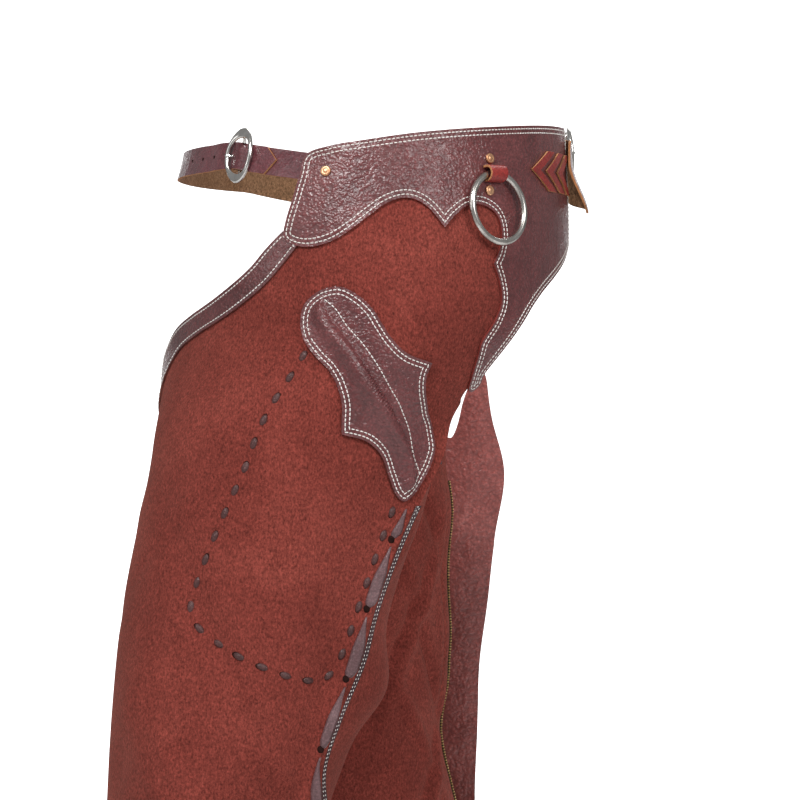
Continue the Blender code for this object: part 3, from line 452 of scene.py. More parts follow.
RIVETS = (
    ("ring_rivet_upper", 1, 35.3, -0.0112),
    ("ring_rivet_lower", 1, 34.9, -0.0345),
    ("front_rivet_L", 1, -11.5, -0.0226),
    ("front_rivet_R", -1, -11.5, -0.0226),
)


def settled_point(side, angle, z):
    """Points of the dressed surface: the smooth one with its finer creases."""
    angle, z = np.broadcast_arrays(np.asarray(angle, float), np.asarray(z, float))
    lift = with_folds(CREASES, side, angle, z, np.zeros_like(z)) * ease(*CREASES_START, z)
    normal = normal_of(smooth_point, side, angle, z, SMOOTH_PROBE)
    return smooth_point(side, angle, z) + normal * lift[..., None]


def places(side, flat, distance=0.0):
    """Points and normals for rows of angle and height. The distance is a number or a layer."""
    flat = np.asarray(flat, float)
    angle, z = flat.T
    normal = normal_of(settled_point, side, angle, z, SETTLED_PROBE)
    away = distance(angle, z) if callable(distance) else np.full(len(flat), float(distance))
    return settled_point(side, angle, z) + normal * away[:, None], normal


def rounded(line, closed=True, corners=(), steps=6):
    """A smooth line through an outline's points. The named corners stay sharp."""
    scale = np.array([1.0, HEIGHT_SCALE])
    points = np.array([(e[0], e[1]) for e in line]) * scale
    count = len(points)
    sharp = {c % count for c in corners}
    chord = np.roll(points, -1, axis=0) - points
    length = np.maximum(np.linalg.norm(chord, axis=1, keepdims=True), TINY)
    ahead = chord / length
    through = ahead + np.roll(ahead, 1, axis=0)
    through = through / np.maximum(np.linalg.norm(through, axis=1, keepdims=True), TINY)
    if not closed:
        through[0] = ahead[0]
        through[-1] = ahead[-2]
    made = []
    for i in range(count if closed else count - 1):
        after = (i + 1) % count
        start = (ahead[i] if i in sharp else through[i]) * length[i]
        end = (ahead[i] if after in sharp else through[after]) * length[i]
        made.extend(hermite(j / steps, points[i], points[after], start, end) for j in range(steps))
    if not closed:
        made.append(points[-1])
    return np.array(made) / scale


def in_loops(loops, x, y):
    """Whether each point lies inside a set of closed loops."""
    odd = np.zeros(len(x), bool)
    for loop in loops:
        for (x1, y1), (x2, y2) in zip(loop, np.roll(loop, -1, axis=0)):
            if y1 != y2:
                odd ^= ((y1 > y) != (y2 > y)) & (x < x1 + (y - y1) * (x2 - x1) / (y2 - y1))
    return odd


def cut_fine(loops, angle_step, z_step):
    """Cut loops out of a fine grid of angle and height. Gives flat points and faces."""
    scale = np.array([1.0, HEIGHT_SCALE])
    loops = [np.asarray(loop, float) * scale for loop in loops]
    step = np.array([angle_step, z_step * HEIGHT_SCALE])
    low = np.floor(loops[0].min(axis=0) / step).astype(int) - 1
    high = np.ceil(loops[0].max(axis=0) / step).astype(int) + 1
    size = high - low
    crossed = np.zeros(size, bool)
    for loop in loops:
        after = np.roll(loop, -1, axis=0)
        for a, b in zip(loop, after):
            count = int(np.max(np.abs(b - a) / step) * CELL_SAMPLES) + 2
            samples = a + (b - a) * np.linspace(0, 1, count)[:, None]
            for shift in (-CELL_EDGE, CELL_EDGE):
                cell = np.floor(samples / step + shift).astype(int) - low
                crossed[cell[:, 0], cell[:, 1]] = True
    columns = (np.arange(size[0] + 1) + low[0]) * step[0]
    rows = (np.arange(size[1] + 1) + low[1]) * step[1]
    corner_x, corner_y = np.meshgrid(columns, rows, indexing="ij")
    within = in_loops(loops, corner_x.ravel(), corner_y.ravel()).reshape(corner_x.shape)
    corners_in = within[:-1, :-1].astype(int) + within[1:, :-1] + within[:-1, 1:] + within[1:, 1:]
    crossed |= (corners_in > 0) & (corners_in < 4)
    whole = (corners_in == 4) & ~crossed
    flat = []
    known = {}

    def spot(x, y):
        key = (round(x * SPOT_SCALE), round(y * SPOT_SCALE))
        if key not in known:
            known[key] = len(flat)
            flat.append((x, y / HEIGHT_SCALE))
        return known[key]

    faces = []
    for i, j in zip(*np.nonzero(whole)):
        faces.append([spot(columns[i + p], rows[j + q]) for p, q in ((0, 0), (1, 0), (1, 1), (0, 1))])
    points = []
    edges = []
    for loop in loops:
        start = len(points)
        points.extend(Vector(p) for p in loop)
        edges.extend((start + k, start + (k + 1) % len(loop)) for k in range(len(loop)))
    corner = {}
    for i, j in zip(*np.nonzero(crossed)):
        around = [(i, j), (i + 1, j), (i + 1, j + 1), (i, j + 1)]
        for place in around:
            if place not in corner:
                corner[place] = len(points)
                points.append(Vector((columns[place[0]], rows[place[1]])))
        for a, b in zip(around, around[1:] + around[:1]):
            edges.append((corner[a], corner[b]))
    made, _, triangles, _, _, _ = delaunay_2d_cdt(points, edges, [], 0, CUT_NEARNESS)
    middles = np.array([[sum(made[k][c] for k in t) / 3 for c in (0, 1)] for t in triangles])
    keep = in_loops(loops, middles[:, 0], middles[:, 1])
    cells = np.floor(middles / step).astype(int) - low
    for triangle, kept, cell in zip(triangles, keep, cells):
        if kept and 0 <= cell[0] < size[0] and 0 <= cell[1] < size[1] and crossed[cell[0], cell[1]]:
            face = [spot(made[k][0], made[k][1]) for k in triangle]
            if len(set(face)) == 3:
                faces.append(face)
    return np.array(flat), faces


def add_object(name, data):
    """An object in the scene."""
    obj = bpy.data.objects.new(name, data)
    bpy.context.scene.collection.objects.link(obj)
    return obj


def new_mesh(name, verts, faces, materials):
    """A mesh from vertices and faces, with its materials."""
    mesh = bpy.data.meshes.new(name)
    mesh.from_pydata([tuple(v) for v in verts], [], faces)
    for mat in materials:
        mesh.materials.append(mat)
    return mesh


def add_mesh(name, mesh):
    """A mesh's object, shaded smooth."""
    mesh.validate()
    mesh.shade_smooth()
    return add_object(name, mesh)


def face_out(name, verts, faces, materials):
    """A closed object with all its faces turned outwards."""
    obj = add_mesh(name, new_mesh(name, verts, faces, materials))
    bm = bmesh.new()
    bm.from_mesh(obj.data)
    bmesh.ops.recalc_face_normals(bm, faces=bm.faces)
    bm.to_mesh(obj.data)
    bm.free()
    obj.data.shade_smooth()
    return obj


def round_cut(obj, width):
    """A narrow bevel on the sharp edges of cut leather."""
    edge = obj.modifiers.new("Rounded cut", "BEVEL")
    edge.width = width
    edge.segments = 2
    edge.limit_method = "ANGLE"
    edge.angle_limit = math.radians(BEVEL_ANGLE)


def panel(name, side, loops, steps, low, high, materials, bevel=0.0004):
    """A leather wall cut from the dressed surface. Its slots are outside, inside and cut edge."""
    flat, faces = cut_fine(loops, *steps)
    layers = [places(side, flat, depth)[0] for depth in (high, low)]
    count = len(flat)
    outer = [list(reversed(f)) if side < 0 else list(f) for f in faces]
    inner = [[i + count for i in reversed(f)] for f in outer]
    open_edges = {}
    for face in outer:
        for a, b in zip(face, face[1:] + face[:1]):
            if (b, a) in open_edges:
                del open_edges[(b, a)]
            else:
                open_edges[(a, b)] = True
    rim = [[b, a, a + count, b + count] for a, b in open_edges]
    mesh = new_mesh(name, np.concatenate(layers), outer + inner + rim, materials)
    slots = np.repeat([0, 1, 2], [len(outer), len(inner), len(rim)]).astype(np.int32)
    mesh.polygons.foreach_set("material_index", slots)
    uv = mesh.uv_layers.new(name="surface")
    corners = np.zeros(len(mesh.loops), np.int32)
    mesh.loops.foreach_get("vertex_index", corners)
    at = flat[corners % count]
    uv.data.foreach_set("uv", np.stack([at[:, 0] * UV_DEGREE, at[:, 1]], -1).ravel())
    obj = add_mesh(name, mesh)
    mesh.set_sharp_from_angle(angle=math.radians(SHARP_ANGLE))
    if bevel:
        round_cut(obj, bevel)
    return obj


def bands(rings, sides, first=0, closed=False):
    """Faces that join each ring of points to the next one."""
    faces = []
    for i in range(rings if closed else rings - 1):
        ahead = sides if i < rings - 1 else -i * sides
        for j in range(sides):
            a = first + i * sides + j
            b = first + i * sides + (j + 1) % sides
            faces.append([a, b, b + ahead, a + ahead])
    return faces


def pod_template(rings, sides, blunt):
    """A small closed pod along X, from -1 to 1, with a unit cross section. Less blunt has thinner ends."""
    verts = [(-1.0, 0.0, 0.0)]
    for i in range(1, rings):
        x = -math.cos(math.pi * i / rings)
        r = math.sin(math.pi * i / rings) ** blunt
        for j in range(sides):
            turn = 2 * math.pi * j / sides
            verts.append((x, r * math.cos(turn), r * math.sin(turn)))
    verts.append((1.0, 0.0, 0.0))
    last = len(verts) - 1
    base = last - sides
    faces = [[0, 1 + (j + 1) % sides, 1 + j] for j in range(sides)]
    faces += bands(rings - 1, sides, 1)
    faces += [[last, base + j, base + (j + 1) % sides] for j in range(sides)]
    return np.array(verts), faces


def pods(name, centres, along, up, length, width, height, material, rings=5, sides=7, blunt=0.6):
    """Many small pods, one at each centre, as one object."""
    template, faces = pod_template(rings, sides, blunt)
    scaled = template * np.array([length / 2, width / 2, height / 2])
    verts = []
    all_faces = []
    for k, (centre, direction, out) in enumerate(zip(centres, along, up)):
        direction = direction / np.linalg.norm(direction)
        out = out - direction * np.dot(out, direction)
        out = out / np.linalg.norm(out)
        across = np.cross(out, direction)
        verts.append(centre + scaled[:, :1] * direction + scaled[:, 1:2] * across + scaled[:, 2:] * out)
        all_faces.extend([[i + k * len(template) for i in face] for face in faces])
    return add_mesh(name, new_mesh(name, np.concatenate(verts), all_faces, [material]))


def run_of(point):
    """Distance along a row of points."""
    return np.concatenate([[0], np.cumsum(np.linalg.norm(np.diff(point, axis=0), axis=1))])


def read_at(at, run, rows):
    """The columns of a table, read at distances along it."""
    return np.stack([np.interp(at, run, column) for column in rows.T], -1)


def along_line(side, line, distance, pitch):
    """Evenly spaced places on a line of angle and height: centres, directions and normals."""
    point, normal = places(side, line, distance)
    run = run_of(point)
    at = np.arange(pitch / 2, run[-1] - pitch / 4, pitch)
    near = pitch * 0.3
    direction = read_at(at + near, run, point) - read_at(at - near, run, point)
    return read_at(at, run, point), direction, read_at(at, run, normal)


def inset_line(side, line, width):
    """A closed line moved inwards on the surface. Places that come too near the edge are left out."""
    point, normal = places(side, line)
    direction = np.roll(point, -1, axis=0) - np.roll(point, 1, axis=0)
    direction /= np.maximum(np.linalg.norm(direction, axis=1, keepdims=True), TINY)
    after = np.roll(line, -1, axis=0)
    turned = np.sign(np.sum(line[:, 0] * after[:, 1] - after[:, 0] * line[:, 1]))
    target = np.cross(normal, direction) * side * turned * width
    turn, lift = INSET_PROBE
    around = places(side, line + np.array([turn, 0]))[0] - point
    rise = places(side, line + np.array([0, lift]))[0] - point
    gram = np.stack([
        np.stack([(around * around).sum(1), (around * rise).sum(1)], -1),
        np.stack([(around * rise).sum(1), (rise * rise).sum(1)], -1),
    ], -2)
    right = np.stack([(around * target).sum(1), (rise * target).sum(1)], -1)
    moved = line + np.linalg.solve(gram, right[..., None])[..., 0] * np.array([turn, lift])
    near = np.array([np.min(np.linalg.norm(point - p, axis=1)) for p in places(side, moved)[0]])
    return moved[near > width * INSET_SHARE]


def sew(name, side, line, widths, distance, pitch=STITCH_PITCH, size=STITCH_SIZE):
    """White stitches along rows inside an outline."""
    rows = []
    for width in widths:
        row = inset_line(side, line, width)
        rows.append(along_line(side, np.concatenate([row, row[:1]]), distance, pitch))
    centres, directions, normals = (np.concatenate(part) for part in zip(*rows))
    length, width = size
    made = pods(name, centres, directions, normals, length, width, width, THREAD)
    return finish_piece(made, [])


# Materials

def start_material(name, roughness, metallic=0.0, **sockets):
    """A material with its shader's fixed values. Gives the material, its nodes and its shader."""
    made = bpy.data.materials.new(name)
    made.use_nodes = True
    tree = made.node_tree
    shader = tree.nodes["Principled BSDF"]
    shader.inputs["Roughness"].default_value = roughness
    shader.inputs["Metallic"].default_value = metallic
    for socket, value in sockets.items():
        shader.inputs[socket.replace("_", " ")].default_value = value
    return made, tree, shader


def add_node(tree, kind, links, values, **settings):
    """A shader node with its settings, the fixed values of its sockets and its links."""
    node = tree.nodes.new("ShaderNode" + kind)
    for name, value in settings.items():
        setattr(node, name, value)
    for socket, value in values.items():
        node.inputs[socket].default_value = value
    for socket, source in links.items():
        tree.links.new(source, node.inputs[socket])
    return node


def places_in(tree, stretch=(1, 1, 1)):
    """Texture places in metres, stretched where a pattern has a direction."""
    at = add_node(tree, "TexCoord", {}, {}).outputs["Object"]
    return add_node(tree, "Mapping", {"Vector": at}, {"Scale": stretch}).outputs["Vector"]


def noise(tree, at, scale, detail=5.0, rough=0.6, warp=0.0):
    """Cloudy noise, as a factor."""
    values = {"Scale": scale, "Detail": detail, "Roughness": rough, "Distortion": warp}
    return add_node(tree, "TexNoise", {"Vector": at}, values).outputs["Fac"]


def pebbles(tree, at, scale):
    """Rounded cells, high in their middles and low between them."""
    values = {"Scale": scale, "Smoothness": 0.45}
    cells = add_node(tree, "TexVoronoi", {"Vector": at}, values, feature="SMOOTH_F1")
    return span(tree, cells.outputs["Distance"], 1.0, 0.0, 0.0, 0.7)


def ramp(tree, factor, stops):
    """Colours along a pattern. Each stop is a place and a colour."""
    node = add_node(tree, "ValToRGB", {"Fac": factor}, {})
    elements = node.color_ramp.elements
    while len(elements) < len(stops):
        elements.new(0.5)
    for element, (place, colour) in zip(elements, stops):
        element.position = place
        element.color = (*colour, 1.0)
    return node.outputs["Color"]


def span(tree, factor, low, high, start=0.3, end=0.7):
    """A pattern's stretch from start to end, drawn out to go from low to high."""
    values = {"From Min": start, "From Max": end, "To Min": low, "To Max": high}
    return add_node(tree, "MapRange", {"Value": factor}, values).outputs["Result"]


def darkened(tree, colour, factor):
    """A colour multiplied by a grey pattern."""
    links = {"A": colour, "B": factor}
    node = add_node(tree, "Mix", links, {"Factor": 1.0}, data_type="RGBA", blend_type="MULTIPLY")
    return node.outputs["Result"]


def bumps(tree, shader, layers):
    """Stack bump patterns. Each layer is a pattern, its strength and its depth in metres."""
    links = {}
    for height, strength, depth in layers:
        links["Height"] = height
        node = add_node(tree, "Bump", links, {"Strength": strength, "Distance": depth})
        links = {"Normal": node.outputs["Normal"]}
    tree.links.new(links["Normal"], shader.inputs["Normal"])


def suede(name, dark, middle, pale):
    """Rough-out leather: a short nap in flecks, rubbed paler and darker in patches."""
    made, tree, shader = start_material(
        name, 0.97, Specular_IOR_Level=0.12, Sheen_Weight=0.10, Sheen_Roughness=0.5,
        Sheen_Tint=(0.95, 0.50, 0.38, 1),
    )
    at = places_in(tree)
    patches = noise(tree, at, 11.0, 6.0, 0.66, 0.6)
    clumps = noise(tree, at, 130.0, 4.0, 0.7, 0.8)
    flecks = noise(tree, at, 430.0, 5.0, 0.75)
    nap = noise(tree, places_in(tree, (1, 1, 0.6)), 760.0, 3.0, 0.75)
    colour = ramp(tree, patches, ((0.26, dark), (0.50, middle), (0.76, pale)))
    colour = darkened(tree, colour, span(tree, clumps, 0.92, 1.06, 0.34, 0.66))
    colour = darkened(tree, colour, span(tree, flecks, 0.72, 1.28, 0.34, 0.66))
    colour = darkened(tree, colour, span(tree, nap, 0.48, 1.52, 0.32, 0.68))
    tree.links.new(colour, shader.inputs["Base Color"])
    tree.links.new(span(tree, clumps, 0.92, 1.0), shader.inputs["Roughness"])
    bumps(tree, shader, ((clumps, 0.35, 0.0006), (flecks, 0.8, 0.0006), (nap, 0.9, 0.0006)))
    return made


def smooth_leather(name, dark, middle, pale, roughness, cells, depth, shine=0.45):
    """Finished leather: fine pebbles and wrinkles with a soft waxy shine."""
    made, tree, shader = start_material(name, roughness, Specular_IOR_Level=shine)
    at = places_in(tree)
    patches = noise(tree, at, 22.0, 6.0, 0.6, 0.5)
    grain = pebbles(tree, at, cells)
    wrinkles = noise(tree, places_in(tree, (1, 1, 1.5)), cells * 0.62, 1.5, 0.5, 0.9)
    colour = ramp(tree, patches, ((0.28, dark), (0.52, middle), (0.76, pale)))
    colour = darkened(tree, colour, span(tree, grain, 0.76, 1.10, 0.1, 0.8))
    colour = darkened(tree, colour, span(tree, wrinkles, 0.84, 1.12, 0.36, 0.60))
    tree.links.new(colour, shader.inputs["Base Color"])
    tree.links.new(span(tree, wrinkles, roughness + 0.08, roughness - 0.08), shader.inputs["Roughness"])
    bumps(tree, shader, ((noise(tree, at, 55.0, 2.0, 0.5), 0.8, 0.0024), (wrinkles, 0.55, depth * 1.7),
                         (grain, 0.60, depth * 1.0)))
    return made


def cut_edge(name, dark, middle, pale):
    """The raw cut of leather: short fibres in thin layers."""
    made, tree, shader = start_material(name, 0.85, Specular_IOR_Level=0.25)
    at = places_in(tree)
    fibres = noise(tree, places_in(tree, (1, 1, 2.2)), 620.0, 5.0, 0.7)
    colour = ramp(tree, noise(tree, at, 70.0, 5.0), ((0.3, dark), (0.52, middle), (0.75, pale)))
    colour = darkened(tree, colour, span(tree, fibres, 0.72, 1.14))
    tree.links.new(colour, shader.inputs["Base Color"])
    bumps(tree, shader, ((fibres, 0.6, 0.0004),))
    return made


def metal(name, dark, pale, low, high, scratch=(1, 1, 0.12)):
    """Plated metal: fine scratches in one direction and duller patches where it is handled."""
    made, tree, shader = start_material(name, (low + high) / 2, 1.0)
    at = places_in(tree)
    patches = noise(tree, at, 90.0, 5.0, 0.6, 0.4)
    scratches = noise(tree, places_in(tree, scratch), 900.0, 4.0, 0.7)
    colour = ramp(tree, patches, ((0.30, dark), (0.66, pale)))
    tree.links.new(colour, shader.inputs["Base Color"])
    tree.links.new(span(tree, patches, high, low), shader.inputs["Roughness"])
    bumps(tree, shader, ((scratches, 0.18, 0.0002), (patches, 0.20, 0.0004)))
    return made


def woven(name, dark, pale):
    """Zip tape: a tight weave across and along."""
    made, tree, shader = start_material(name, 0.9, Specular_IOR_Level=0.2, Sheen_Weight=0.2,
                                        Sheen_Roughness=0.5)
    at = places_in(tree)
    waves = {}
    for index, direction in enumerate(("Y", "Z")):
        values = {"Scale": 260.0, "Distortion": 0.6}
        wave = add_node(tree, "TexWave", {"Vector": at}, values, bands_direction=direction)
        waves[index] = wave.outputs["Fac"]
    weave = add_node(tree, "Math", waves, {}, operation="MULTIPLY").outputs["Value"]
    tree.links.new(ramp(tree, weave, ((0.05, dark), (0.6, pale))), shader.inputs["Base Color"])
    bumps(tree, shader, ((weave, 0.8, 0.0003), (noise(tree, at, 300.0), 0.3, 0.0003)))
    return made


def yarn(name, dark, pale):
    """Sewing thread with a twist."""
    made, tree, shader = start_material(name, 0.75, Specular_IOR_Level=0.3, Sheen_Weight=0.3,
                                        Sheen_Roughness=0.5)
    at = places_in(tree)
    twist = noise(tree, at, 1900.0, 2.0, 0.5)
    soil = noise(tree, at, 40.0, 4.0, 0.6)
    colour = ramp(tree, soil, ((0.3, dark), (0.6, pale)))
    tree.links.new(darkened(tree, colour, span(tree, twist, 0.75, 1.1)), shader.inputs["Base Color"])
    bumps(tree, shader, ((twist, 0.5, 0.0002),))
    return made


def plain_surface(name, dark, pale, roughness, scale):
    """A dull surface with a faint cloudy pattern."""
    made, tree, shader = start_material(name, roughness, Specular_IOR_Level=0.1)
    pattern = noise(tree, places_in(tree), scale, 4.0)
    tree.links.new(ramp(tree, pattern, ((0.3, dark), (0.7, pale))), shader.inputs["Base Color"])
    bumps(tree, shader, ((pattern, 0.15, 0.0005),))
    return made


SUEDE = suede("rough_out_rust", (0.150, 0.028, 0.021), (0.205, 0.040, 0.030), (0.262, 0.056, 0.042))
SMOOTH_SIDE = smooth_leather(
    "smooth_side_oxblood", (0.24, 0.066, 0.058), (0.31, 0.086, 0.076), (0.39, 0.12, 0.106),
    0.3, 380, 0.0005, 0.55)
TRIM_LEATHER = smooth_leather(
    "trim_oxblood", (0.092, 0.026, 0.027), (0.13, 0.038, 0.039), (0.175, 0.058, 0.058),
    0.26, 470, 0.0005, 0.75)
PEBBLED = smooth_leather(
    "pebbled_oxblood", (0.112, 0.028, 0.029), (0.155, 0.04, 0.041), (0.205, 0.06, 0.06),
    0.34, 430, 0.0006, 0.62)
STRAP_LEATHER = smooth_leather(
    "strap_oxblood", (0.105, 0.029, 0.035), (0.15, 0.044, 0.052), (0.196, 0.064, 0.074),
    0.28, 600, 0.0002, 0.6)
LACE_LEATHER = smooth_leather(
    "lace_oxblood", (0.06, 0.022, 0.02), (0.096, 0.036, 0.034), (0.145, 0.062, 0.06),
    0.44, 700, 0.0004, 0.4)
# The running lace's floats: oxblood leather painted paler and greyer. The grey is a painted highlight that
# stands in for the shine of their smooth face.
FLOAT_PAINTED_SHEEN = smooth_leather(
    "float_oxblood_painted_sheen", (0.125, 0.064, 0.068), (0.175, 0.097, 0.102), (0.235, 0.142, 0.148),
    0.34, 700, 0.0002, 0.5)
RED_LEATHER = smooth_leather(
    "red_leather", (0.23, 0.02, 0.017), (0.33, 0.032, 0.027), (0.41, 0.06, 0.05),
    0.4, 700, 0.0002, 0.38)
TAN_FLESH = suede("tan_flesh_side", (0.200, 0.105, 0.052), (0.290, 0.160, 0.085), (0.380, 0.230, 0.130))
FACING_LEATHER = smooth_leather(
    "facing_oxblood", (0.03, 0.014, 0.016), (0.05, 0.022, 0.025), (0.08, 0.038, 0.042),
    0.4, 560, 0.0002, 0.4)
FLESH = suede("flesh_side", (0.105, 0.030, 0.024), (0.145, 0.044, 0.036), (0.190, 0.066, 0.054))
RUST_EDGE = cut_edge("rust_cut_edge", (0.100, 0.026, 0.020), (0.150, 0.040, 0.030), (0.210, 0.066, 0.048))
RED_EDGE = cut_edge("red_cut_edge", (0.150, 0.022, 0.016), (0.220, 0.032, 0.024), (0.290, 0.056, 0.040))
TAN_EDGE = cut_edge("tan_cut_edge", (0.380, 0.150, 0.060), (0.520, 0.230, 0.096), (0.640, 0.330, 0.160))
NICKEL = metal("polished_nickel", (0.60, 0.58, 0.55), (0.86, 0.84, 0.81), 0.12, 0.26)
DULL_NICKEL = metal("antique_nickel", (0.36, 0.34, 0.31), (0.74, 0.71, 0.67), 0.20, 0.34, (1, 0.3, 0.3))
COPPER = metal("worn_copper", (0.56, 0.27, 0.14), (0.84, 0.50, 0.30), 0.36, 0.50)
BRASS = metal("zip_brass", (0.34, 0.21, 0.07), (0.72, 0.52, 0.22), 0.26, 0.42)
TAPE_CLOTH = woven("olive_tape", (0.040, 0.034, 0.014), (0.125, 0.108, 0.052))
THREAD = yarn("white_thread", (0.74, 0.69, 0.63), (0.95, 0.92, 0.88))
SLOT_DARK = plain_surface("slot_shadow", (0.012, 0.005, 0.004), (0.030, 0.011, 0.009), 0.9, 300.0)
FLOOR_PALE = plain_surface("studio_floor", (0.78, 0.78, 0.78), (0.82, 0.82, 0.82), 0.8, 3.0)


def finish_piece(obj, nodes, body="garment"):
    """Make a piece ride and hide the nodes that it stands for."""
    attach(obj, body)
    if nodes:
        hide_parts(*nodes)
    return obj


def frame_at(side, angle, z, distance):
    """Axes on the surface: X forwards round the garment, Y up and Z outwards."""
    point, normal = places(side, [(angle, z)])
    out = Vector(normal[0]).normalized()
    up = (Vector((0, 0, 1)) - out * out.z).normalized()
    along = up.cross(out)
    turn = Matrix((along, up, out)).transposed().to_4x4()
    return Matrix.Translation(Vector(point[0]) + out * distance) @ turn


def shifted(line, width):
    """A line moved down by a width measured along the surface, square to the line."""
    moved = []
    for i, edge in enumerate(line):
        before = line[max(i - 1, 0)]
        after = line[min(i + 1, len(line) - 1)]
        per_degree = 0.0025 if edge.angle > -80 else 0.0018
        run = (after.angle - before.angle) * per_degree
        drop = after.z - before.z
        length = math.hypot(run, drop)
        moved.append(Edge(edge.angle - drop / length * width / per_degree, edge.z + run / length * width))
    return moved


def beside(line, start, end):
    """A strip between two distances, in degrees, to the front of a back edge."""
    near = [Edge(e.angle - start, e.z) for e in line]
    far = [Edge(e.angle - end, e.z) for e in reversed(line)]
    return near + far


def lace_places():
    """Evenly spaced stitches of the small lace, as angle and height."""
    line = rounded(LACE_PATH, closed=False, steps=10)
    run = run_of(places(1, line)[0])
    at = np.linspace(0, run[-1], LACE_STITCHES)
    return [read_at(at + near, run, line) for near in (0, LACE_NEAR, -LACE_NEAR)]


def lace_layer(side):
    """The outer face of a leg, pulled in under each stitch of the small lace."""
    centre, _, _ = lace_places()
    spots, _ = places(side, centre)

    def layer(angle, z):
        point, _ = places(side, np.stack([angle, z], -1))
        total = np.full(len(angle), LEATHER)
        for spot in spots:
            far = np.linalg.norm(point - spot, axis=1)
            total = total - LACE_DIP * np.exp(-((far / LACE_DIP_WIDTH) ** 2))
        return np.maximum(total, LEATHER * 0.35)
    return layer


def make_legs():
    """The two legs: rough-out outside, smooth side against the jeans."""
    for side, mark, back, end in SIDES_CUT:
        outline = list(LEG_TOP) + list(CUT_TOP[1:]) + list(end[1:]) + list(reversed(back)) + [LEG_TOP_BACK]
        last_end = len(LEG_TOP) + len(CUT_TOP) + len(end) - 2
        sharp = list(range(len(LEG_TOP))) + [last_end - 1, last_end, len(outline) - 1]
        leg = panel(f"leg_{mark}_leather", side, [rounded(outline, corners=sharp)], LEG_STEPS, 0.0,
                    lace_layer(side), (SUEDE, SMOOTH_SIDE, RUST_EDGE))
        finish_piece(leg, ["leg_" + mark])


def yoke_outline():
    """Outline of a yoke, with its top, front, scallops and back edge."""
    outline = list(YOKE_TOP) + list(YOKE_FRONT) + list(YOKE_SCALLOP) + list(YOKE_SEAT)
    valley = len(YOKE_TOP) + len(YOKE_FRONT) + 8
    return rounded(outline, corners=(0, valley, valley + 7, len(outline) - 1))


def make_yokes():
    """The scalloped yokes with two rows of stitches all round."""
    line = yoke_outline()
    for side, mark in SIDES:
        yoke = panel(f"yoke_{mark}_leather", side, [line], YOKE_STEPS, ON_LEG, ON_LEG + LEATHER,
                     (PEBBLED, FLESH, RED_EDGE), 0.0005)
        finish_piece(yoke, ["yoke_" + mark])
        rows = sew(f"yoke_{mark}_stitches", side, line, YOKE_ROWS, ON_LEG + LEATHER)


def make_bindings():
    """The band along each seat opening, sewn down near its edge. The right one ends a little sooner."""
    for side, mark in SIDES:
        line = list(CUT_TOP)
        line[0] = BINDING_START[0]
        line[-1] = Edge(BINDING_END[side], line[-1].z)
        low = shifted(line, BINDING_DEPTH)
        low[0] = BINDING_START[1]
        outline = line + low[::-1]
        count = len(line)
        smooth = rounded(outline, corners=(0, count - 1, count, len(outline) - 1))
        band = panel(f"binding_{mark}_leather", side, [smooth], BINDING_STEPS, ON_LEG, ON_LEG + TRIM,
                     (TRIM_LEATHER, FLESH, RUST_EDGE))
        finish_piece(band, ["binding_" + mark])
        sew(f"binding_{mark}_stitches", side, smooth, (BINDING_ROW,), ON_LEG + TRIM)


def make_facings():
    """The narrow strip down each back edge, with a row of small stitches."""
    for side, mark in SIDES:
        line = [Edge(FLAP_END[side], z) for z in np.linspace(FACING_TOP, HEM_Z, FACING_PLACES)]
        wide = (FACING_WIDTH - FACING_TUCK) / DEGREE_ON_FLAP[side]
        ends = (0, FACING_PLACES - 1, FACING_PLACES, 2 * FACING_PLACES - 1)
        outline = rounded(beside(line, 0.0, wide), corners=ends, steps=3)
        strip = panel(f"facing_{mark}_leather", side, [outline], FACING_STEPS, ON_LEG, ON_LEG + TRIM,
                      (FACING_LEATHER, FLESH, RUST_EDGE))
        finish_piece(strip, ["facing_" + mark])
        sew(f"facing_{mark}_stitches", side, outline, (FACING_ROW,), ON_LEG + TRIM, FACING_PITCH,
            FACING_STITCH)


def make_zips():
    """Woven tapes with brass teeth along their free edges. The inner tape's edge turns outwards a little."""
    for side, mark, _, end in SIDES_CUT:
        if side > 0:
            inner = [e for e in end if e.z < ZIP_TOP[side]]
        else:
            inner = [Edge(end[-1].angle, ZIP_TOP[side]), end[-1]]
        outer = [Edge(FLAP_END[side] - TAPE_FROM_EDGE[side], z) for z in (OUTER_ZIP_TOP, HEM_Z)]
        for label, line, wide, turned in (
            ("inner", inner, TAPE_WIDTH, TAPE_TURN),
            ("outer", outer, -TAPE_WIDTH, 0.0),
        ):
            heights = np.linspace(line[0].z, line[-1].z, TAPE_PLACES)
            known = sorted((e.z, e.angle) for e in line)
            angles = np.interp(heights, *zip(*known))
            start = -TAPE_REACH if turned else 0.0

            def under(angle, z):
                edge = np.interp(z, *zip(*known))
                return turned * ease(edge - 0.1, edge - TAPE_REACH, angle) - SEAM_GAP - TAPE

            free = np.stack([angles + start, heights], -1)
            held = np.stack([angles + wide, heights], -1)[::-1]
            tape = panel(f"zip_{label}_{mark}_tape", side, [np.concatenate([free, held])], TAPE_STEPS,
                         under, plus(under, TAPE), (TAPE_CLOTH,) * 3, 0.0)
            finish_piece(tape, [f"zip_{label}_{mark}"])
            centre, direction, out = along_line(side, free, plus(under, TAPE / 2), TOOTH_PITCH)
            teeth = pods(f"zip_{label}_{mark}_teeth", centre, np.cross(out, direction), out, *TOOTH_SIZE,
                         BRASS, 4, 6)
            finish_piece(teeth, [])


def float_spans():
    """Top and lower end of each stretch of the running lace. Only part of the first one shows."""
    spans = [(FLOAT_FIRST_TOP, FLOAT_END)]
    for index in range(FLOAT_COUNT - 1):
        top = FLOAT_TOP - index * FLOAT_PITCH
        spans.append((top, top - FLOAT_LENGTH))
    return spans


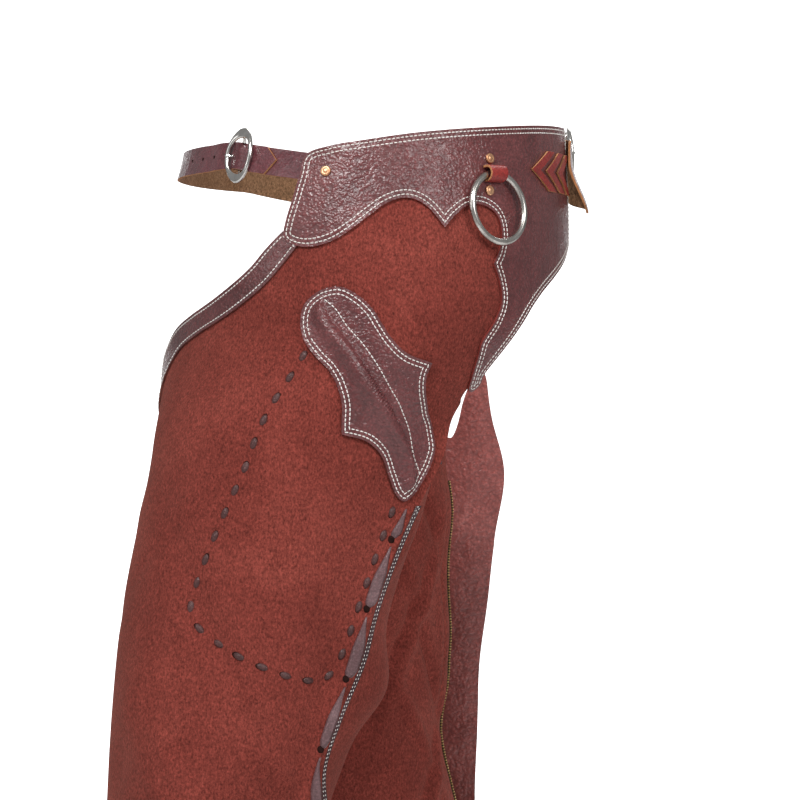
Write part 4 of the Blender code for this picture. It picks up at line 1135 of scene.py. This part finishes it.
def crowned_strip(name, side, middle, top, low):
    """One stretch of lace: flat underneath, crowned on top, narrowing into the leather at both ends."""
    verts = []
    for z in low + np.arange(STRIP_STATIONS) / (STRIP_STATIONS - 1) * (top - low):
        from_top = top - z
        from_low = z - low
        narrow = float(ease(0, FLOAT_TAPER, from_top)) * float(ease(*FLOAT_FOOT, from_low))
        narrow = FLOAT_TIP + (1 - FLOAT_TIP) * narrow
        sink = FLOAT_SINK[0] * (1 - float(ease(0, FLOAT_SINK[1], min(from_top, from_low))))
        for face in (1, 0):
            for v in np.linspace(-1, 1, STRIP_PLACES):
                angle = middle + v * narrow * FLOAT_WIDTH / 2 / DEGREE_ON_FLAP[side]
                crown = FLOAT_CROWN * math.sqrt(max(1 - v * v, 0.0)) * (0.6 + 0.4 * narrow)
                verts.append((angle, z, ON_LEG + (crown if face else -0.0001) - sink))
    table = np.array(verts)
    point, normal = places(side, table[:, :2])
    row = STRIP_PLACES * 2
    faces = []
    for i in range(STRIP_STATIONS - 1):
        for j in range(STRIP_PLACES - 1):
            a = i * row + j
            b = a + STRIP_PLACES
            faces.append([a, a + 1, a + 1 + row, a + row])
            faces.append([b, b + row, b + row + 1, b + 1])
        for a in (i * row, i * row + STRIP_PLACES - 1):
            faces.append([a, a + row, a + row + STRIP_PLACES, a + STRIP_PLACES])
    for i in (0, STRIP_STATIONS - 1):
        for a in range(i * row, i * row + STRIP_PLACES - 1):
            faces.append([a, a + STRIP_PLACES, a + STRIP_PLACES + 1, a + 1])
    return face_out(name, point + normal * table[:, 2:], faces, [FLOAT_PAINTED_SHEEN])


def make_floats():
    """The wide running lace beside each back edge, with the slots that it goes through."""
    for side, mark in SIDES:
        half = FLOAT_WIDTH / 2 / DEGREE_ON_FLAP[side]
        middle = FLAP_END[side] - (FACING_WIDTH - FACING_TUCK + SOLID_GAP) / DEGREE_ON_FLAP[side] - half
        ends = []
        for index, (top, low) in enumerate(float_spans(), 1):
            lace = crowned_strip(f"lace_{mark}_{index}_leather", side, middle, top, low)
            finish_piece(lace, [f"lace_{mark}_{index}"])
            ends.append((middle - half * 0.35, low - 0.0008))
        centre, out = places(side, ends, LEATHER + 0.0001)
        down = np.tile([0.0, 0.0, -1.0], (len(ends), 1))
        slots = pods(f"lace_{mark}_slots", centre, down, out, *FLOAT_SLOT, SLOT_DARK, 6, 10, 0.8)
        finish_piece(slots, [])


def make_small_laces():
    """A row of short plump stitches round the front of each thigh. Each comes up out of a dark slot."""
    flat, ahead, behind = lace_places()
    for side, mark in SIDES:
        centre, out = places(side, flat, LEATHER - LACE_DIP)
        along = places(side, ahead)[0] - places(side, behind)[0]
        along /= np.linalg.norm(along, axis=1, keepdims=True)
        laces = pods(f"thigh_lace_{mark}", centre + along * 0.0005 + out * 0.0002, along, out, *LACE_SIZE,
                     LACE_LEATHER, 10, 12, 1.1)
        finish_piece(laces, [])
        slots = pods(f"thigh_lace_{mark}_slots", centre - along * 0.0006, along, out, *LACE_SLOT, SLOT_DARK,
                     8, 10, 0.9)
        finish_piece(slots, [])


def nearest_gap(at, line):
    """Distance to a line for each place, with the number of the line's nearest point."""
    gap = at[:, None] - line
    far = np.hypot(gap[..., 0], gap[..., 1])
    nearest = np.argmin(far, axis=1)
    return far[np.arange(len(at)), nearest], nearest


def ridge(angle, z):
    """Outer layer of the knife pocket: it swells beside the groove of its lip and is flat at its edge."""
    scale = [1, POCKET_SCALE]
    at = np.stack([angle, z], -1) * scale
    line = rounded(POCKET_RIDGE, closed=False, steps=12) * scale
    far, nearest = nearest_gap(at, line)
    ahead = np.gradient(line, axis=0)[nearest]
    offset = at - line[nearest]
    offset = far * np.sign(ahead[:, 0] * offset[:, 1] - ahead[:, 1] * offset[:, 0])
    edge, _ = nearest_gap(at, rounded(POCKET, corners=POCKET_CORNERS, steps=12) * scale)
    swell = POCKET_LIP_HEIGHT * np.exp(-(((offset + POCKET_LIP_MIDDLE) / POCKET_LIP_WIDTH) ** 2))
    groove = POCKET_GROOVE[0] * np.exp(-((offset / POCKET_GROOVE[1]) ** 2))
    return ON_LEG + LEATHER + (swell - groove) * ease(*POCKET_FLAT_EDGE, edge)


def make_pocket():
    """The slanted knife pocket with its raised lip, sewn down with two rows and a seam beside the lip."""
    line = rounded(POCKET, corners=POCKET_CORNERS)
    pocket = panel("knife_pocket_leather", 1, [line], POCKET_STEPS, ON_LEG, ridge,
                   (PEBBLED, FLESH, RUST_EDGE))
    finish_piece(pocket, ["knife_pocket"])
    sew("knife_pocket_stitches", 1, line, POCKET_ROWS, ridge)
    seam = along_line(1, rounded(POCKET_SEAM, closed=False, steps=8), ridge, STITCH_PITCH)
    length, width = STITCH_SIZE
    finish_piece(pods("knife_pocket_seam", *seam, length, width, width, THREAD), [])


def front_line(angle):
    """Height of the front strap's middle."""
    return np.interp(angle, *zip(*FRONT_LINE))


def strap_outline(first, last, tip):
    """A strap along the front line, from one angle to another, with a point at the last end."""
    angles = np.linspace(first, last, STRAP_PLACES)
    centres = front_line(angles)
    half = STRAP_WIDTH / 2
    upper = np.stack([angles, centres + half], -1)
    lower = np.stack([angles, centres - half], -1)[::-1]
    point = [(last + tip, centres[-1])] if tip else np.empty((0, 2))
    return np.concatenate([upper, point, lower])


def over_bar(angle, bar_angle):
    """How far a strap rises over a buckle's bar."""
    return BAR_LIFT * np.exp(-(((angle - bar_angle) / BAR_SPREAD) ** 2))


def front_lift(angle, z):
    """Layer of the front billet: against the hip, then over its partner and over the buckle's bar."""
    return ON_LEG * ease(*FRONT_OVERLAP, angle) + over_bar(angle, FRONT_BUCKLE_ANGLE)


def back_droop(angle, z):
    """Layer of the back billet: under the right yoke, over the buckle's bar, then hanging outwards."""
    lift = ON_LEG * ease(*BACK_OVERLAP, angle) + over_bar(angle, BACK_BUCKLE_ANGLE)
    return lift + ease(*HANG_START, angle) * (HANG_LIFT[0] + HANG_LIFT[1] * ease(*HANG_HEIGHTS, z))


def plus(layer, amount):
    """The same layer, further out. A layer is a number, or a function of angle and height."""
    return (lambda angle, z: layer(angle, z) + amount) if callable(layer) else layer + amount


def make_straps():
    """The buckled straps at the front and the back."""
    made = {}
    top = BACK_LINE_Z + STRAP_WIDTH / 2
    base = BACK_LINE_Z - STRAP_WIDTH / 2
    start, end = BACK_STRAP
    back = np.array([(start, top), (end, top), (end, base), (start, base)])
    droop = [Edge(a, top) for a in BACK_BILLET[:2]]
    droop += list(BACK_DROOP) + [Edge(a, base) for a in BACK_BILLET[2:]]
    for name, outline, low in (
        ("front_strap_L", strap_outline(*FRONT_STRAP, 0), 0.0),
        ("front_billet_R", strap_outline(*FRONT_BILLET), front_lift),
        ("back_strap_L", back, 0.0),
        ("back_billet_R", rounded(droop, corners=(0, 1, 5, 8, 9)), back_droop),
    ):
        made[name] = panel(name + "_leather", 1, [outline], STRAP_STEPS, low, plus(low, LEATHER),
                           (STRAP_LEATHER, TAN_FLESH, TAN_EDGE))
        finish_piece(made[name], [name])
    centre, out = places(1, [(a, front_line(a)) for a in FRONT_HOLES], plus(front_lift, LEATHER))
    up = np.tile([0.0, 0.0, 1.0], (len(FRONT_HOLES), 1))
    holes = pods("front_billet_R_holes", centre, up, out, HOLE_SIZE, HOLE_SIZE, 0.0005, SLOT_DARK,
                 6, 12, 0.9)
    finish_piece(holes, [])


def tube(points, wire, sides, closed=True):
    """Vertices and faces of a round wire through points. Each point has its own two cross directions."""
    verts = []
    for centre, first, second in points:
        for j in range(sides):
            roll = 2 * math.pi * j / sides
            verts.append(centre + first * (math.cos(roll) * wire / 2) + second * (math.sin(roll) * wire / 2))
    count = len(points)
    faces = bands(count, sides, closed=closed)
    if not closed:
        faces.append(list(range(sides)))
        faces.append([(count - 1) * sides + j for j in reversed(range(sides))])
    return verts, faces


def wire_object(name, parts, place, mat):
    """One object from several wires, moved to its place."""
    verts, faces = [], []
    for part_verts, part_faces in parts:
        start = len(verts)
        verts.extend(place @ v for v in part_verts)
        faces.extend([[i + start for i in f] for f in part_faces])
    return face_out(name, verts, faces, [mat])


def make_buckle(name, angle, z, tilt):
    """An oval frame with a centre bar, and a prong that goes through the billet."""
    high = ON_LEG + LEATHER + SOLID_GAP + BUCKLE_WIRE / 2 + 0.0013
    bar_height = ON_LEG + BAR_WIRE / 2 + 0.0003
    half_width = (BUCKLE_WIDTH - BUCKLE_WIRE) / 2
    reach = (BUCKLE_HEIGHT - BUCKLE_WIRE) / 2
    oval = []
    for i in range(64):
        turn = 2 * math.pi * i / 64
        outward = Vector((math.cos(turn), math.sin(turn), 0))
        centre = Vector((outward.x * half_width, outward.y * reach, high - 0.0016 * math.sin(turn) ** 2))
        broad = 0.80 + 1.10 * math.sin(turn) ** 4
        oval.append((centre, outward * broad, Vector((0, 0, 0.85))))
    bar = []
    for y in np.linspace(-reach, reach, 9):
        height = bar_height + 0.0006 * (abs(y) / reach) ** 4
        bar.append((Vector((0, y, height)), Vector((1, 0, 0)), Vector((0, 0, 1))))
    over = ON_LEG + LEATHER + BAR_LIFT * 0.6
    prong = []
    for t in np.linspace(0, 1, 9):
        x = -PRONG_START - t * (half_width - PRONG_START)
        height = over + (high + BUCKLE_WIRE * 0.45 - over) * float(ease(0.2, 1.0, t))
        prong.append((Vector((x, 0, height)), Vector((0, 1, 0)), Vector((0, 0, 1))))
    place = frame_at(1, angle, z, 0.0) @ Matrix.Rotation(math.radians(tilt), 4, "Z")
    parts = [tube(oval, BUCKLE_WIRE, 14), tube(bar, BAR_WIRE, 12, False), tube(prong, PRONG_WIRE, 10, False)]
    buckle = wire_object(name + "_metal", parts, place, NICKEL)
    finish_piece(buckle, [name])


def ring_place():
    """Where the top of the ring's wire lies, inside the loop."""
    return frame_at(1, RING_ANGLE, RING_TOP_Z, ON_YOKE + RING_LIFT + RING_WIRE / 2)


def make_ring():
    """The hip ring hangs from the loop's middle."""
    major = (RING_OUTER - RING_WIRE) / 2
    circle = []
    for i in range(96):
        turn = 2 * math.pi * i / 96
        outward = Vector((math.cos(turn), math.sin(turn), 0))
        circle.append((outward * major - Vector((0, major, 0)), outward, Vector((0, 0, 1))))
    ring = wire_object("hip_ring_metal", [tube(circle, RING_WIRE, 16)], ring_place(), DULL_NICKEL)
    finish_piece(ring, ["hip_ring"], "ring")


def make_loop():
    """A leather band over the top of the ring, from the yoke and back to it."""
    place = ring_place()
    inner = RING_WIRE / 2 + LOOP_CLEARANCE
    foot = -(RING_WIRE / 2 + RING_LIFT - SEAM_GAP)
    path = []
    over = np.linspace(0, math.pi, 15)
    for radius, turns in ((inner + LEATHER, over), (inner, over[::-1])):
        path.append((radius * math.cos(turns[0]), foot))
        path.extend((radius * math.cos(t), radius * math.sin(t)) for t in turns)
        path.append((radius * math.cos(turns[-1]), foot))
    count = len(path)
    across = np.linspace(-LOOP_WIDTH / 2, LOOP_WIDTH / 2, LOOP_RINGS)
    verts = [place @ Vector((x, y, z)) for x in across for y, z in path]
    walls = bands(LOOP_RINGS, count)
    cuts = [[base + j, base + j + 1, base + count - 2 - j, base + count - 1 - j]
            for base in (0, (LOOP_RINGS - 1) * count) for j in range(count // 2 - 1)]
    obj = face_out("ring_loop_leather", verts, walls + cuts, [RED_LEATHER, TAN_EDGE])
    for polygon in obj.data.polygons[len(walls):]:
        polygon.material_index = 1
    obj.data.set_sharp_from_angle(angle=math.radians(SHARP_ANGLE))
    round_cut(obj, 0.0003)
    finish_piece(obj, ["ring_loop"])


def make_rivet(name, side, angle, z):
    """A domed head with a thin rim, on a yoke."""
    radius = RIVET_SIZE / 2
    place = frame_at(side, angle, z, ON_YOKE + 0.0001)
    sides = 28
    turns = [2 * math.pi * j / sides for j in range(sides)]
    verts = [place @ Vector((radius * r * math.cos(t), radius * r * math.sin(t), h))
             for r, h in RIVET_PROFILE for t in turns]
    last = (len(RIVET_PROFILE) - 1) * sides
    faces = bands(len(RIVET_PROFILE), sides)
    faces += [[last + j for j in range(sides)], list(reversed(range(sides)))]
    mesh = new_mesh(name + "_metal", verts, faces, [COPPER])
    finish_piece(add_mesh(mesh.name, mesh), [name])


def make_chevrons():
    """Three red bands towards the back of each yoke, with pale cut edges."""
    half = CHEVRON_HALF_HEIGHT
    band = CHEVRON_WIDTH / DEGREE_ON_HIP
    for side, mark in SIDES:
        for index, tip in enumerate(CHEVRON_TIPS, 1):
            arm = min(tip + CHEVRON_REACH, CHEVRON_END - band)
            outline = np.array([
                (tip, CHEVRON_Z), (arm, CHEVRON_Z - half), (arm + band, CHEVRON_Z - half),
                (tip + band, CHEVRON_Z), (arm + band, CHEVRON_Z + half), (arm, CHEVRON_Z + half),
            ])
            chevron = panel(f"chevron_{mark}_{index}_leather", side, [outline], CHEVRON_STEPS, ON_YOKE,
                            ON_YOKE + TRIM, (RED_LEATHER, FLESH, TAN_EDGE), 0.0002)
            finish_piece(chevron, [f"chevron_{mark}_{index}"])


def stage_object(name, mat):
    """Name the shape just added and give it its material."""
    obj = bpy.context.object
    obj.name = name
    obj.data.materials.append(mat)


def make_studio():
    """A pale floor, a white backdrop, soft lights and the camera at the photograph's place."""
    bpy.ops.mesh.primitive_circle_add(vertices=96, radius=2.9, fill_type="NGON", location=(0, 0, FLOOR_Z))
    stage_object("studio_floor", FLOOR_PALE)
    glow = bpy.data.materials.new("studio_backdrop")
    glow.use_nodes = True
    shader = glow.node_tree.nodes["Principled BSDF"]
    shader.inputs["Base Color"].default_value = (0.9, 0.9, 0.9, 1)
    shader.inputs["Emission Color"].default_value = (1, 1, 1, 1)
    shader.inputs["Emission Strength"].default_value = 1.0
    bpy.ops.mesh.primitive_plane_add(size=2.4, location=(-2.9, 0, -0.1), rotation=(0, math.radians(90), 0))
    stage_object("studio_backdrop", glow)
    scene = bpy.context.scene
    scene.world = bpy.data.worlds.new("studio")
    scene.world.use_nodes = True
    background = scene.world.node_tree.nodes["Background"]
    background.inputs["Color"].default_value = (1.0, 1.0, 1.0, 1)
    background.inputs["Strength"].default_value = WORLD_LIGHT
    for name, at, size, power in LIGHTS:
        light = bpy.data.lights.new(name, "AREA")
        light.shape = "DISK"
        light.size = size
        light.energy = power
        lamp = add_object(name, light)
        lamp.location = at
        lamp.rotation_euler = (Vector(LOOK_AT) - Vector(at)).to_track_quat("-Z", "Y").to_euler()
    data = bpy.data.cameras.new("camera")
    data.sensor_width = 36.0
    data.lens = data.sensor_width * FOCAL_PIXELS / IMAGE_SIZE
    camera = add_object("camera", data)
    camera.location = CAMERA_PLACE
    camera.rotation_euler = (math.radians(90), 0, math.radians(90))
    scene.camera = camera
    scene.view_settings.view_transform = "Standard"


make_studio()
make_legs()
make_yokes()
make_bindings()
make_facings()
make_zips()
make_floats()
make_small_laces()
make_pocket()
make_straps()
make_buckle("front_buckle", FRONT_BUCKLE_ANGLE, -0.0092, 2)
make_buckle("back_buckle", BACK_BUCKLE_ANGLE, BACK_LINE_Z, 0)
make_ring()
make_loop()
for rivet in RIVETS:
    make_rivet(*rivet)
make_chevrons()
